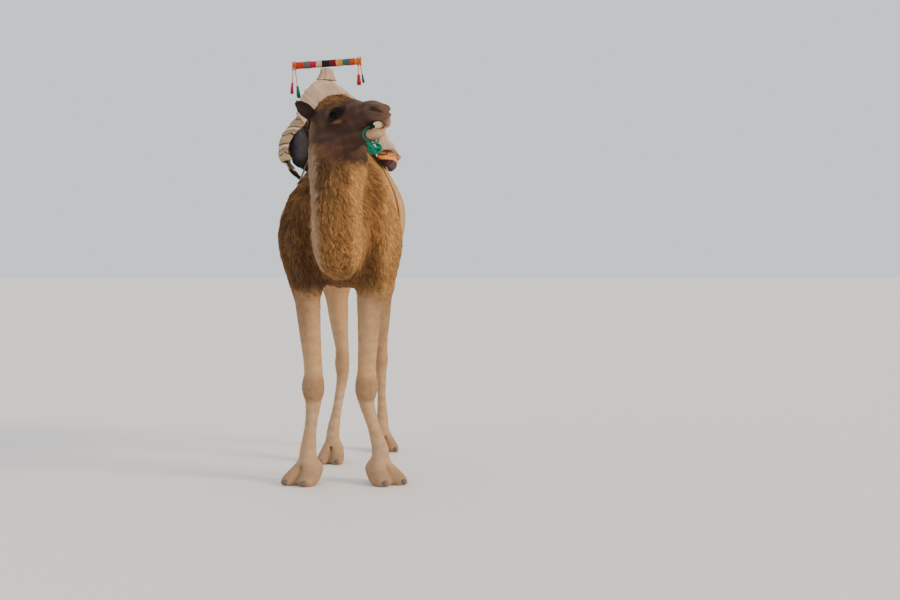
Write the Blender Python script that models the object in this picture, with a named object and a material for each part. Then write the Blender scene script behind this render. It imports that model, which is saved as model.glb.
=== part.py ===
"""A life-size dromedary in its riding tack: a saddled camel that stands still on four feet.

Metres, +Z up. The camel faces -Y and its left side is +X. The body is laid out round its own
reference point, on the ground between the toes of the front feet, and the finished model is
then moved so that the origin is the middle of its footprint box, on the ground.

The animal is a set of masses, tubes with an elliptical section that run through stations. They
melt into one another as a distance field, which is meshed, thinned out and parted by thin cuts.
"""

import math

import bmesh
import bpy
import numpy as np
from mathutils import Matrix, Vector
from mathutils.bvhtree import BVHTree

# ---------------------------------------------------------------- driving dimensions
GAP = 0.0006            # clearance left by a cut between neighbouring solids
SOLE = 0.002            # height at which the soles are cut flat
LEG_CUT = 1.042         # height at which the front legs are parted from the trunk
THIGH_CUT = 1.096       # height at which the hind legs are parted from the trunk
KNEE = 0.52             # height of the knee joint
HOCK = 0.575            # height of the hock joint
FETLOCK = 0.15          # height of the fetlock joint
EYE_RADIUS = 0.0215

# The head's own frame: origin at the poll, nose towards -Y, left side +X.
POLL = Vector((-0.045, -0.46, 1.904))
HEAD_TURN = math.radians(43)    # the nose turns to the camel's left
HEAD_LIFT = math.radians(4)     # and is carried a little up
HEAD = (Matrix.Translation(POLL)
        @ Matrix.Rotation(HEAD_TURN, 4, "Z")
        @ Matrix.Rotation(-HEAD_LIFT, 4, "X"))
THROAT = HEAD @ Matrix.Translation((0, -0.02, -0.155)) @ Matrix.Rotation(math.radians(-63), 4, "X")
NECK_CUT = -0.19        # how far along the neck is parted from the trunk
TAIL_CUT = 1.525        # and the tail
EYE = (0.0700, -0.172, -0.006)      # the left eye's centre, in the head's frame
MOUTH_CORNER = (-0.325, -0.080)     # how far along and how high the lips meet

# The saddle has slipped to the camel's right, and its handle leans that way.
POST_FOOT = Vector((-0.115, 0.395, 2.105))
POST_TOP = Vector((-0.110, 0.395, 2.262))
BAR_RIGHT = Vector((-0.292, 0.395, 2.274))
BAR_LEFT = Vector((0.074, 0.395, 2.300))
BAR_RADIUS = 0.0215
POST_RADIUS = 0.011
BLANKET_THICKNESS = 0.010
ROPE_RADIUS = 0.0055
CORD_RADIUS = 0.0025    # of the cords that the tassels hang on
GIRTH_SIDES = 30        # straight stretches of the girth's one turn


# ---------------------------------------------------------------- the masses
# A mass is a tube through stations, each one (across, along, up, half width, half depth).

BARREL = [
    (0.00, -0.08, 1.42, 0.12, 0.18),
    (0.00, 0.06, 1.43, 0.20, 0.28),
    (0.00, 0.25, 1.43, 0.262, 0.350),
    (0.00, 0.48, 1.425, 0.302, 0.362),
    (0.01, 0.72, 1.44, 0.312, 0.338),
    (0.02, 0.95, 1.48, 0.270, 0.278),
    (0.03, 1.16, 1.49, 0.218, 0.225),
    (0.03, 1.33, 1.45, 0.165, 0.195),
    (0.03, 1.43, 1.40, 0.100, 0.135),
]
HUMP = [
    (0.00, 0.28, 1.60, 0.09, 0.12),
    (-0.02, 0.46, 1.730, 0.128, 0.225),
    (-0.03, 0.65, 1.780, 0.138, 0.278),
    (-0.02, 0.83, 1.715, 0.128, 0.220),
    (0.01, 1.03, 1.57, 0.09, 0.13),
]
NECK = [
    (0.000, 0.04, 1.46, 0.170, 0.225),
    (0.005, -0.16, 1.36, 0.150, 0.212),
    (0.010, -0.35, 1.285, 0.134, 0.180),
    (0.012, -0.505, 1.350, 0.130, 0.160),
    (0.015, -0.560, 1.51, 0.132, 0.145),
    (0.018, -0.520, 1.66, 0.150, 0.136),
    (0.000, -0.445, 1.785, 0.136, 0.120),
    (-0.030, -0.400, 1.865, 0.086, 0.082),
]
BRISKET = [
    (0.00, -0.06, 1.22, 0.10, 0.10),
    (0.00, 0.08, 1.155, 0.135, 0.095),
    (0.00, 0.24, 1.15, 0.135, 0.085),
]
TAIL = [
    (0.03, 1.40, 1.50, 0.045, 0.040),
    (0.03, 1.50, 1.475, 0.036, 0.034),
    (0.03, 1.565, 1.38, 0.028, 0.028),
    (0.025, 1.580, 1.22, 0.024, 0.024),
    (0.02, 1.582, 1.08, 0.032, 0.030),
    (0.02, 1.580, 0.96, 0.036, 0.032),
    (0.02, 1.578, 0.87, 0.020, 0.018),
]

# The head's masses, in the head's own frame.
SKULL = [
    (0.00, 0.03, -0.03, 0.055, 0.065),
    (0.00, -0.05, 0.000, 0.082, 0.080),
    (0.00, -0.13, 0.012, 0.086, 0.084),
    (0.00, -0.20, 0.004, 0.072, 0.075),
    (0.00, -0.28, -0.010, 0.056, 0.062),
    (0.00, -0.36, -0.010, 0.048, 0.053),
    (0.00, -0.412, -0.015, 0.050, 0.050),
    (0.00, -0.442, -0.029, 0.038, 0.040),
]
JAW = [
    (0.00, -0.03, -0.110, 0.056, 0.062),
    (0.00, -0.12, -0.124, 0.064, 0.066),
    (0.00, -0.21, -0.119, 0.053, 0.050),
    (0.00, -0.30, -0.119, 0.043, 0.039),
    (0.00, -0.37, -0.121, 0.041, 0.031),
    (0.00, -0.410, -0.118, 0.034, 0.026),
]
TOPKNOT = [
    (0.00, 0.01, 0.055, 0.050, 0.038),
    (0.00, -0.07, 0.080, 0.056, 0.036),
    (0.00, -0.14, 0.074, 0.046, 0.030),
]
MOUTH = [
    (0.00, MOUTH_CORNER[0] - 0.006, MOUTH_CORNER[1], 0.080, 0.004),
    (0.00, -0.39, -0.079, 0.080, 0.014),
    (0.00, -0.52, -0.076, 0.080, 0.026),
]


def mirrored(stations, side):
    """The same stations on the camel's left (side 1) or right (side -1)."""
    return [(side * x, y, z, w, d) for x, y, z, w, d in stations]


def shoulder(side):
    """Shoulder and upper arm; the wool is fuller on the camel's right."""
    wool = 0.018 if side < 0 else 0
    return mirrored([
        (0.105 + wool, 0.20, 1.66, 0.062, 0.085),
        (0.176 + 1.5 * wool, 0.09, 1.50, 0.092, 0.145),
        (0.222 + wool, 0.03, 1.33, 0.104, 0.165),
        (0.214 + 0.6 * wool, 0.07, 1.17, 0.090, 0.145),
        (0.186, 0.10, 1.06, 0.078, 0.110),
    ], side)


def front_leg(elbow, knee, fetlock):
    """Forearm, knee, cannon and fetlock, through joints given as (across, along)."""
    (ex, ey), (kx, ky), (fx, fy) = elbow, knee, fetlock
    return [
        (ex, ey, 1.12, 0.082, 0.112),
        (0.5 * (ex + kx), 0.5 * (ey + ky), 0.84, 0.062, 0.076),
        (kx, ky + 0.005, KNEE + 0.10, 0.052, 0.058),
        (kx, ky - 0.006, KNEE, 0.064, 0.066),
        (kx, ky + 0.006, KNEE - 0.08, 0.046, 0.048),
        (0.5 * (kx + fx), 0.5 * (ky + fy), 0.31, 0.036, 0.042),
        (fx, fy + 0.005, FETLOCK + 0.03, 0.048, 0.054),
        (fx, fy - 0.015, FETLOCK - 0.05, 0.056, 0.062),
    ]


def thigh(side, stifle):
    sx, sy = stifle
    hip = side * 0.12 + 0.03
    return [
        (hip - side * 0.02, 1.25, 1.52, 0.090, 0.150),
        (hip, 0.35 * sy + 0.65 * 1.22, 1.36, 0.100, 0.200),
        (0.5 * (sx + hip), 0.75 * sy + 0.25 * 1.2, 1.20, 0.092, 0.175),
        (sx, sy + 0.02, 1.05, 0.078, 0.118),
    ]


def hind_leg(stifle, hock, fetlock):
    """Gaskin, hock, cannon and fetlock, through joints given as (across, along)."""
    (sx, sy), (hx, hy), (fx, fy) = stifle, hock, fetlock
    return [
        (sx, sy + 0.02, 1.09, 0.078, 0.115),
        (0.5 * (sx + hx), 0.5 * (sy + hy) - 0.01, 0.86, 0.060, 0.080),
        (hx, hy - 0.015, HOCK + 0.10, 0.043, 0.056),
        (hx, hy, HOCK, 0.046, 0.062),
        (hx, hy - 0.01, HOCK - 0.09, 0.037, 0.046),
        (0.5 * (hx + fx), 0.5 * (hy + fy), 0.33, 0.030, 0.038),
        (fx, fy + 0.005, FETLOCK + 0.03, 0.041, 0.048),
        (fx, fy - 0.01, FETLOCK - 0.05, 0.047, 0.054),
    ]


LEGS = {
    # (across, along) of elbow or stifle, knee or hock, and fetlock
    "front_right": dict(joints=((-0.200, 0.10), (-0.162, 0.085), (-0.192, 0.10)),
                        heading=math.radians(-27)),
    "front_left": dict(joints=((0.148, 0.10), (0.124, 0.085), (0.196, 0.10)),
                       heading=math.radians(35)),
    "hind_right": dict(joints=((-0.108, 0.95), (-0.074, 1.03), (-0.120, 0.90)),
                       heading=math.radians(-8)),
    "hind_left": dict(joints=((0.158, 1.07), (0.140, 1.46), (0.148, 1.43)),
                      heading=math.radians(18)),
}
TOE_SPLAY = math.radians(11)
TOE_SIZE = {"front": (0.146, 0.104), "hind": (0.124, 0.084)}     # length and width


def toe_way(leg, side):
    """Where a toe starts on the ground and the way it runs; side is -1 or 1."""
    heading = LEGS[leg]["heading"]
    fetlock = LEGS[leg]["joints"][2]
    width = TOE_SIZE[leg.split("_")[0]][1]
    start = Vector(fetlock) + Vector((math.cos(heading), math.sin(heading))) * side * 0.30 * width
    angle = heading + side * TOE_SPLAY
    return start, Vector((math.sin(angle), -math.cos(angle)))


def toe(leg, side):
    """One of a foot's two broad padded toes, out from under the fetlock."""
    length, width = TOE_SIZE[leg.split("_")[0]]
    start, out = toe_way(leg, side)
    rows = [
        (-0.22, 0.080, 0.46, 0.050),
        (0.10, 0.060, 0.52, 0.062),
        (0.45, 0.036, 0.54, 0.050),
        (0.74, 0.024, 0.47, 0.037),
        (0.90, 0.018, 0.34, 0.026),
    ]
    return [(*(start + out * length * reach), up, width * share, depth)
            for reach, up, share, depth in rows]


# ---------------------------------------------------------------- the distance field
def in_between(rows, steps):
    """Catmull-Rom points through rows of numbers, steps to each stretch, ends included."""
    rows = np.array(rows, float)
    rows = np.vstack([2 * rows[0] - rows[1], rows, 2 * rows[-1] - rows[-2]])
    t = (np.arange(steps) / steps)[:, None]
    found = [0.5 * (2 * b + (c - a) * t + (2 * a - 5 * b + 4 * c - d) * t ** 2
                    + (3 * b - a - 3 * c + d) * t ** 3)
             for a, b, c, d in zip(rows, rows[1:], rows[2:], rows[3:])]
    return np.vstack([*found, rows[-2]])


def unit(vectors):
    return vectors / np.linalg.norm(vectors, axis=-1, keepdims=True)


class Mass:
    """A tube with rounded ends through stations, widest towards aside; it adds to a field, or carves it."""

    def __init__(self, stations, place=None, blend=0.05, cap=0.7, carves=False, steps=5, aside=(1, 0, 0)):
        rows = in_between(stations, steps)
        centres, self.sizes = rows[:, :3], rows[:, 3:]
        ways = unit(np.gradient(centres, axis=0))
        across = unit(np.array(aside) - ways * (ways @ np.array(aside))[:, None])
        upward = np.cross(ways, across)
        turn = np.array(place.to_3x3()) if place else np.eye(3)
        shift = np.array(place.translation) if place else np.zeros(3)
        self.centres = centres @ turn.T + shift
        self.across, self.upward = across @ turn.T, upward @ turn.T
        self.blend, self.cap, self.carves = blend, cap, carves

    def stretches(self, reach):
        """Each stretch's box corners, grown by reach, and its distance function."""
        grow = self.sizes.max(axis=1) + reach
        last = len(self.centres) - 2
        for k in range(last + 1):
            ends, room = self.centres[k:k + 2], grow[k:k + 2, None]
            yield (ends - room).min(axis=0), (ends + room).max(axis=0), self.distance(k, last)

    def distance(self, k, last):
        one, two = self.centres[k], self.centres[k + 1]
        span = two - one
        length = span @ span

        def measured(points):
            t = sum((p - a) * s for p, a, s in zip(points, one, span)) / length
            past = np.where(t < 0, t, np.maximum(t - 1, 0)) * math.sqrt(length)
            t = np.clip(t, 0, 1)
            width, depth = (a + (b - a) * t for a, b in zip(self.sizes[k], self.sizes[k + 1]))
            short = np.minimum(width, depth)
            if k == 0:
                short = np.where(past < 0, short * self.cap, short)
            if k == last:
                short = np.where(past > 0, short * self.cap, short)
            rel = [p - (a + t * s) for p, a, s in zip(points, one, span)]
            u, v = (sum(r * (a + (b - a) * t) for r, a, b in zip(rel, axes[k], axes[k + 1]))
                    for axes in (self.across, self.upward))
            parts = u / width, v / depth, past / short
            reach = np.sqrt(sum(p * p for p in parts))
            slope = np.sqrt(sum((p / s) ** 2 for p, s in zip(parts, (width, depth, short))))
            return reach * (reach - 1) / np.maximum(slope, 1e-6)

        return measured


def ball(centre, radii, place=None, **how):
    """A mass shaped as an ellipsoid whose long way is along the frame's Y."""
    x, y, z = centre
    core = 0.02 * radii[1]
    return Mass([(x, y - core, z, radii[0], radii[2]), (x, y + core, z, radii[0], radii[2])],
                place, steps=1, cap=radii[1] / min(radii[0], radii[2]), **how)


def joined(a, b, blend):
    """The union of two distances, its crease filled over the blend."""
    h = np.maximum(blend - np.abs(a - b), 0) / blend
    return np.minimum(a, b) - 0.25 * blend * h * h


class Field:
    """The distance to a set of masses, sampled on a grid of cubes."""

    FAR = 1.0

    def __init__(self, masses, low, high, voxel):
        self.low, self.voxel = np.array(low, float), voxel
        self.axes = [np.arange(a, b, voxel) for a, b in zip(low, high)]
        self.value = np.full([len(axis) for axis in self.axes], self.FAR)
        reach = 1.3 * max(mass.blend for mass in masses) + 2 * voxel
        for mass in masses:
            self.add(mass, reach)

    def window(self, low, high):
        return tuple(slice(*np.searchsorted(axis, (a, b))) for axis, a, b in zip(self.axes, low, high))

    def points(self, window):
        return [axis[part].reshape([-1 if k == n else 1 for n in range(3)])
                for k, (axis, part) in enumerate(zip(self.axes, window))]

    def add(self, mass, reach):
        boxes = list(mass.stretches(reach))
        whole = self.window(np.min([b[0] for b in boxes], axis=0), np.max([b[1] for b in boxes], axis=0))
        near = np.full(self.value[whole].shape, self.FAR)
        for low, high, measured in boxes:
            part = self.window(low, high)
            inner = tuple(slice(p.start - w.start, p.stop - w.start) for p, w in zip(part, whole))
            if near[inner].size:
                near[inner] = np.minimum(near[inner], measured(self.points(part)))
        if mass.carves:
            self.value[whole] = -joined(-self.value[whole], near, mass.blend)
        else:
            self.value[whole] = joined(self.value[whole], near, mass.blend)

    def surface(self):
        """Points and four-sided faces of the zero surface, one point to each crossed cube; closed at the grid's edge."""
        value = self.value.copy()
        for axis in range(3):
            for end in (0, -1):
                side = tuple(end if n == axis else slice(None) for n in range(3))
                value[side] = np.maximum(value[side], 0.5 * self.voxel)
        inside = value < 0
        shape = np.array(value.shape) - 1
        corners = [(i, j, k) for i in (0, 1) for j in (0, 1) for k in (0, 1)]

        def shifted(array, corner):
            return array[tuple(slice(c, c + n) for c, n in zip(corner, shape))]

        count = sum(shifted(inside, c).astype(np.int8) for c in corners)
        cells = np.argwhere((count > 0) & (count < 8))
        index = np.full(shape, -1)
        index[tuple(cells.T)] = np.arange(len(cells))
        at = {c: shifted(value, c)[tuple(cells.T)] for c in corners}
        total, crossed = np.zeros((len(cells), 3)), np.zeros(len(cells))
        for a in corners:
            for axis in range(3):
                if a[axis]:
                    continue
                b = tuple(c + (n == axis) for n, c in enumerate(a))
                cut = (at[a] < 0) != (at[b] < 0)
                t = np.where(cut, at[a] / np.where(cut, at[a] - at[b], 1), 0)
                total += np.where(cut[:, None], np.array(a) + t[:, None] * np.eye(3)[axis], 0)
                crossed += cut
        points = self.low + (cells + total / crossed[:, None]) * self.voxel
        faces = []
        for axis in range(3):
            u, v = (axis + 1) % 3, (axis + 2) % 3
            ahead = [slice(None)] * 3
            behind = [slice(None)] * 3
            ahead[axis], behind[axis] = slice(1, None), slice(None, -1)
            for flip, cut in ((False, inside[tuple(behind)] & ~inside[tuple(ahead)]),
                              (True, ~inside[tuple(behind)] & inside[tuple(ahead)])):
                edges = np.argwhere(cut)
                edges = edges[(edges[:, u] > 0) & (edges[:, v] > 0)
                              & (edges[:, u] < shape[u]) & (edges[:, v] < shape[v])]
                steps = np.zeros((4, 3), int)
                steps[1:3, u] = -1
                steps[2:4, v] = -1
                quad = np.stack([index[tuple((edges + step).T)] for step in steps], axis=1)
                faces.append(quad[:, ::-1] if flip else quad)
        return points, np.vstack(faces)


# ---------------------------------------------------------------- meshes and modifiers
def from_rows(name, points, faces):
    """A mesh object of points and faces, linked to the scene."""
    mesh = bpy.data.meshes.new(name)
    mesh.from_pydata([tuple(p) for p in points], [], [tuple(int(i) for i in f) for f in faces])
    mesh.validate()
    obj = bpy.data.objects.new(name, mesh)
    bpy.context.scene.collection.objects.link(obj)
    return obj


def from_bmesh(name, bm):
    bmesh.ops.recalc_face_normals(bm, faces=bm.faces)
    mesh = bpy.data.meshes.new(name)
    bm.to_mesh(mesh)
    bm.free()
    obj = bpy.data.objects.new(name, mesh)
    bpy.context.scene.collection.objects.link(obj)
    return obj


def settled(obj):
    """Gives the object the mesh that its modifiers make, and clears them."""
    graph = bpy.context.evaluated_depsgraph_get()
    graph.update()
    made = bpy.data.meshes.new_from_object(obj.evaluated_get(graph))
    obj.modifiers.clear()
    obj.data = made
    return obj


def is_closed(obj):
    bm = bmesh.new()
    bm.from_mesh(obj.data)
    whole = all(edge.is_manifold and edge.is_contiguous for edge in bm.edges)
    bm.free()
    return whole


def shell(name, field, triangles):
    """The field's surface with about so many triangles; a thinning that pinches it is made again."""
    full = from_rows("full", *field.surface())
    for more in range(12):
        obj = copied(full, name)
        thin = obj.modifiers.new("thin out", "DECIMATE")
        thin.ratio = min(1, triangles * (1 + 0.03 * more) / (2 * len(full.data.polygons)))
        if is_closed(settled(obj)):
            dropped(full)
            return obj
        dropped(obj)
    raise ValueError(f"{name}: every thinning pinches the mesh")


def combined(obj, other, operation):
    cut = obj.modifiers.new(operation.lower(), "BOOLEAN")
    cut.operation = operation
    cut.object = other
    return settled(obj)


def copied(obj, name):
    twin = bpy.data.objects.new(name, obj.data.copy())
    bpy.context.scene.collection.objects.link(twin)
    return twin


def dropped(*objects):
    for obj in objects:
        bpy.data.objects.remove(obj)


def block(low, high, place=Matrix.Identity(4)):
    """A box between two corners, placed."""
    low, high = Vector(low), Vector(high)
    bm = bmesh.new()
    size = Matrix.Diagonal((*(high - low), 1))
    bmesh.ops.create_cube(bm, size=1, matrix=place @ Matrix.Translation((low + high) / 2) @ size)
    return from_bmesh("cutter", bm)


def sphere(name, centre, radii, place=Matrix.Identity(4), segments=16):
    bm = bmesh.new()
    matrix = place @ Matrix.Translation(Vector(centre)) @ Matrix.Diagonal((*radii, 1))
    bmesh.ops.create_uvsphere(bm, u_segments=segments, v_segments=segments // 2, radius=1, matrix=matrix)
    return from_bmesh(name, bm)


def parted(skin, name, low, high, place=Matrix.Identity(4)):
    """A new node: what a box holds of the skin. The skin loses it, and the gap beside it."""
    box, wider = (block([a - g for a in low], [b + g for b in high], place) for g in (0, GAP))
    node = largest_island(combined(copied(skin, name), box, "INTERSECT"))
    combined(skin, wider, "DIFFERENCE")
    dropped(box, wider)
    return node


def fitted(node, neighbour, room):
    """Takes from a node what lies in its neighbour or within room of it."""
    grown = copied(neighbour, "grown")
    places = np.array([v.co for v in neighbour.data.vertices])
    ways = np.array([v.normal for v in neighbour.data.vertices])
    grown.data.vertices.foreach_set("co", (places + room * ways).ravel())
    combined(node, grown, "DIFFERENCE")
    dropped(grown)
    return largest_island(node)


def largest_island(obj):
    """Keeps the biggest connected body of the mesh."""
    bm = bmesh.new()
    bm.from_mesh(obj.data)
    left, islands = set(bm.verts), []
    while left:
        todo, island = [left.pop()], []
        while todo:
            vert = todo.pop()
            island.append(vert)
            for edge in vert.link_edges:
                other = edge.other_vert(vert)
                if other in left:
                    left.remove(other)
                    todo.append(other)
        islands.append(island)
    islands.sort(key=len)
    for island in islands[:-1]:
        bmesh.ops.delete(bm, geom=island, context="VERTS")
    bm.to_mesh(obj.data)
    bm.free()
    return obj


# ---------------------------------------------------------------- building the animal
def body_masses():
    """Everything from the trunk to the feet and up to the throat."""
    masses = [Mass(BARREL), Mass(HUMP, blend=0.20), Mass(NECK, blend=0.12), Mass(BRISKET, blend=0.10)]
    masses += [Mass(shoulder(side), blend=0.10) for side in (-1, 1)]
    for name, leg in LEGS.items():
        upper, middle, lower = leg["joints"]
        if name.startswith("front"):
            masses.append(Mass(front_leg(upper, middle, lower), blend=0.05))
        else:
            masses.append(Mass(thigh(math.copysign(1, upper[0]), upper), blend=0.10))
            masses.append(Mass(hind_leg(upper, middle, lower), blend=0.06))
    for name in LEGS:
        masses += [Mass(toe(name, side), blend=0.030, cap=0.9) for side in (-1, 1)]
    masses.append(Mass(TAIL, blend=0.03))
    return masses


def head_masses():
    """The head on the top of its neck, with the mouth open."""
    masses = [Mass(NECK, blend=0.05), Mass(SKULL, HEAD, blend=0.06), Mass(JAW, HEAD, blend=0.045),
              Mass(TOPKNOT, HEAD, blend=0.03)]
    for side in (-1, 1):
        x, y, z = EYE
        masses.append(ball((side * (x - 0.006), y, z + 0.004), (0.030, 0.040, 0.032), HEAD, blend=0.03))
        masses.append(ball((side * 0.027, -0.420, -0.004), (0.021, 0.034, 0.022), HEAD, blend=0.02))
    masses.append(Mass(MOUTH, HEAD, blend=0.006, carves=True))
    return masses


def head_nodes():
    """Head, lower jaw with its front teeth, ears and eyes."""
    field = Field(head_masses(), (-0.25, -0.95, 1.62), (0.40, -0.22, 2.08), 0.0065)
    whole = shell("whole head", field, 1120)
    head = parted(whole, "head", (-0.5, -0.9, -0.6), (0.5, 0, 0.6), THROAT)
    dropped(whole)
    jaw = parted(head, "lower_jaw", (-0.2, -0.7, -0.4), (0.2, -0.035, MOUTH_CORNER[1] - 0.001), HEAD)
    for side, word in ((1, "left"), (-1, "right")):
        centre = (side * EYE[0], EYE[1], EYE[2])
        sphere(f"eye_{word}", centre, [EYE_RADIUS] * 3, HEAD, 12)
        socket = sphere("socket", centre, [EYE_RADIUS + 0.001] * 3, HEAD, 12)
        slit = sphere("slit", (side * (EYE[0] + 0.033), EYE[1], EYE[2]), (0.025, 0.021, 0.013), HEAD, 10)
        for cutter in (socket, slit):
            combined(head, cutter, "DIFFERENCE")
        dropped(socket, slit)
        ear(word, side, head)
    for k in range(6):
        across = (k - 2.5) * 0.0098
        tooth = sphere("tooth", (across, -0.417 + 7.0 * across ** 2, -0.089), (0.0056, 0.0048, 0.022), HEAD, 6)
        combined(jaw, tooth, "UNION")
        dropped(tooth)
    return head, jaw


def ear(word, side, head):
    """A cupped leaf that stands out, back and up from the side of the head, open forwards."""
    root, tip = Vector((side * 0.074, -0.014, -0.004)), Vector((side * 0.144, 0.046, 0.084))
    faces = Vector((side * 0.68, -0.73, 0))
    way = tip - root
    aside = tuple(faces.cross(way).normalized())
    leaf = [(*(root + way * t), wide, 0.016 - 0.007 * t)
            for t, wide in ((0, 0.022), (0.25, 0.032), (0.55, 0.036), (0.82, 0.027), (1, 0.013))]
    cup = [(*(root + way * t + faces * 0.012), wide, 0.012)
           for t, wide in ((0.22, 0.018), (0.4, 0.025), (0.62, 0.026), (0.84, 0.017))]
    masses = [Mass(leaf, HEAD, blend=0.01, aside=aside),
              Mass(cup, HEAD, blend=0.006, aside=aside, carves=True)]
    ends = np.array([HEAD @ root, HEAD @ tip])
    box = ends.min(axis=0) - 0.05, ends.max(axis=0) + 0.05
    leaf = shell(f"ear_{word}", Field(masses, *box, 0.004), 130)
    return fitted(leaf, head, GAP)


def leg_nodes(body):
    """Parts the legs from the body and sets two nails in each foot."""
    for name in LEGS:
        end, word = name.split("_")
        across = (0, 0.6) if word == "left" else (-0.6, 0)
        along, top = ((-0.4, 0.5), LEG_CUT) if end == "front" else ((0.80, 1.9), THIGH_CUT)
        leg = parted(body, f"leg_{name}", (across[0], along[0], SOLE), (across[1], along[1], top))
        for side, place_word in ((-1, "right"), (1, "left")):
            length, width = TOE_SIZE[end]
            start, out = toe_way(name, side)
            tip = start + out * length * 0.99
            place = (Matrix.Translation((tip.x, tip.y, 0.027))
                     @ Matrix.Rotation(math.atan2(out.x, -out.y), 4, "Z"))
            radii = Vector((0.20 * width, 0.026, 0.018))
            sphere(f"toenail_{name}_{place_word}", (0, 0, 0), radii, place, 8)
            socket = sphere("socket", (0, 0, 0), radii + Vector([GAP * 1.5] * 3), place, 8)
            combined(leg, socket, "DIFFERENCE")
            dropped(socket)


def animal_nodes():
    """The camel itself; returns its trunk, for the tack to keep clear of."""
    field = Field(body_masses(), (-0.42, -0.75, -0.05), (0.42, 1.68, 2.36), 0.014)
    body = shell("trunk", field, 2850)
    head_nodes()
    beyond = block((-0.5, -0.9, -0.6), (0.5, GAP, 0.6), THROAT)
    combined(body, beyond, "DIFFERENCE")
    dropped(beyond)
    parted(body, "tail", (-0.1, TAIL_CUT, 0.7), (0.2, 1.8, 1.62))
    leg_nodes(body)
    parted(body, "neck", (-0.5, -1.2, 0.9), (0.5, NECK_CUT, 2.2))
    return largest_island(body)


# ---------------------------------------------------------------- building the tack
def draped(arches, across):
    """A surface through arches, each (along, [(across, up), ...]) from right to left, and its way down."""
    surface = []
    for y, points in arches:
        points = in_between(points, across)
        surface.append(np.column_stack([points[:, 0], np.full(len(points), y), points[:, 1]]))
    surface = np.array(surface)
    return surface, unit(np.cross(np.gradient(surface, axis=0), np.gradient(surface, axis=1)))


def sheet(name, top, down, thickness):
    """A closed sheet between a surface and the same surface moved down by its thickness."""
    index = np.arange(top[..., 0].size).reshape(top.shape[:2])
    over = np.stack([index[:-1, :-1], index[1:, :-1], index[1:, 1:],
                     index[:-1, :-1], index[1:, 1:], index[:-1, 1:]], axis=-1).reshape(-1, 3)
    rim = np.concatenate([index[0], index[1:, -1], index[-1, -2::-1], index[-2:0:-1, 0]])
    edge = np.stack([rim, np.roll(rim, -1), np.roll(rim, -1) + index.size, rim + index.size], axis=-1)
    points = np.vstack([top.reshape(-1, 3), (top + down * thickness).reshape(-1, 3)])
    bm = bmesh.new()
    verts = [bm.verts.new(p) for p in points]
    for face in [*over, *(over[:, ::-1] + index.size), *edge]:
        bm.faces.new([verts[i] for i in face])
    return from_bmesh(name, bm)


def turned(name, profile, start, end, sides=16):
    """A solid turned about the line from start to end; its profile is (share along, radius)."""
    start, end = Vector(start), Vector(end)
    way = (end - start).normalized()
    aside = way.orthogonal().normalized()
    other = way.cross(aside)
    bm = bmesh.new()
    rings = [[bm.verts.new(start.lerp(end, t) + (aside * math.cos(a) + other * math.sin(a)) * radius)
              for a in (2 * math.pi * k / sides for k in range(sides))] for t, radius in profile]
    for one, two in zip(rings, rings[1:]):
        for k in range(sides):
            bm.faces.new((one[k], one[(k + 1) % sides], two[(k + 1) % sides], two[k]))
    bm.faces.new(rings[0])
    bm.faces.new(rings[-1])
    return from_bmesh(name, bm)


def pads(trunk, *neighbours):
    """The two stuffed pads that lie along the sides of the hump, clear of their neighbours."""
    shapes = {
        "pad_right": [(-0.256, 0.290, 1.820, 0.038, 0.095), (-0.262, 0.36, 1.825, 0.050, 0.128),
                      (-0.264, 0.62, 1.825, 0.054, 0.128), (-0.256, 0.82, 1.790, 0.048, 0.100),
                      (-0.250, 0.93, 1.765, 0.034, 0.065)],
        "pad_left": [(0.198, 0.300, 1.756, 0.056, 0.048), (0.200, 0.38, 1.756, 0.068, 0.060),
                     (0.204, 0.65, 1.758, 0.070, 0.062), (0.196, 0.93, 1.750, 0.066, 0.058),
                     (0.186, 1.000, 1.745, 0.048, 0.044)],
    }
    for name, stations in shapes.items():
        field = Field([Mass(stations, blend=0.03)], (-0.36, 0.2, 1.6), (0.32, 1.1, 2.0), 0.014)
        pad = fitted(shell(name, field, 150), trunk, 0.012)
        for neighbour in neighbours:
            fitted(pad, neighbour, GAP)


def frame_and_handle():
    """The saddle's front arch and the post that stands on it, with the handle's wrapped bar."""
    arch = [(-0.202, 0.380, 1.925, 0.014, 0.014), (-0.172, 0.388, 2.030, 0.015, 0.015),
            (*POST_FOOT, 0.016, 0.016), (0.020, 0.388, 2.030, 0.015, 0.015),
            (0.120, 0.366, 1.905, 0.014, 0.014), (0.158, 0.354, 1.862, 0.014, 0.014)]
    low, high = (-0.26, 0.33, 1.84), (0.20, 0.45, 2.16)
    field = Field([Mass(arch, blend=0.01, aside=(0, 1, 0))], low, high, 0.0045)
    frame = shell("saddle_frame", field, 230)
    post = turned("post", [(0, POST_RADIUS), (1, POST_RADIUS)], POST_FOOT, POST_TOP, 12)
    combined(frame, post, "UNION")
    dropped(post)
    end = 0.3 * BAR_RADIUS / (BAR_LEFT - BAR_RIGHT).length
    turned("handle_bar", [(0, 0.7 * BAR_RADIUS), (end, BAR_RADIUS), (1 - end, BAR_RADIUS), (1, 0.7 * BAR_RADIUS)],
           BAR_RIGHT, BAR_LEFT, 14)
    wrap = turned("post_wrap", [(0, 0.034), (0.45, 0.040), (0.8, 0.050), (1, 0.060)],
                  POST_TOP.lerp(POST_FOOT, 0.01), POST_TOP.lerp(POST_FOOT, 0.43), 12)
    bore(wrap)


def bore(obj):
    """Opens a way for the handle's post through a solid."""
    way = POST_TOP - POST_FOOT
    drill = turned("drill", [(0, POST_RADIUS + GAP), (1, POST_RADIUS + GAP)],
                   POST_FOOT - 0.2 * way, POST_TOP + 0.2 * way, 12)
    combined(obj, drill, "DIFFERENCE")
    dropped(drill)


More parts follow.
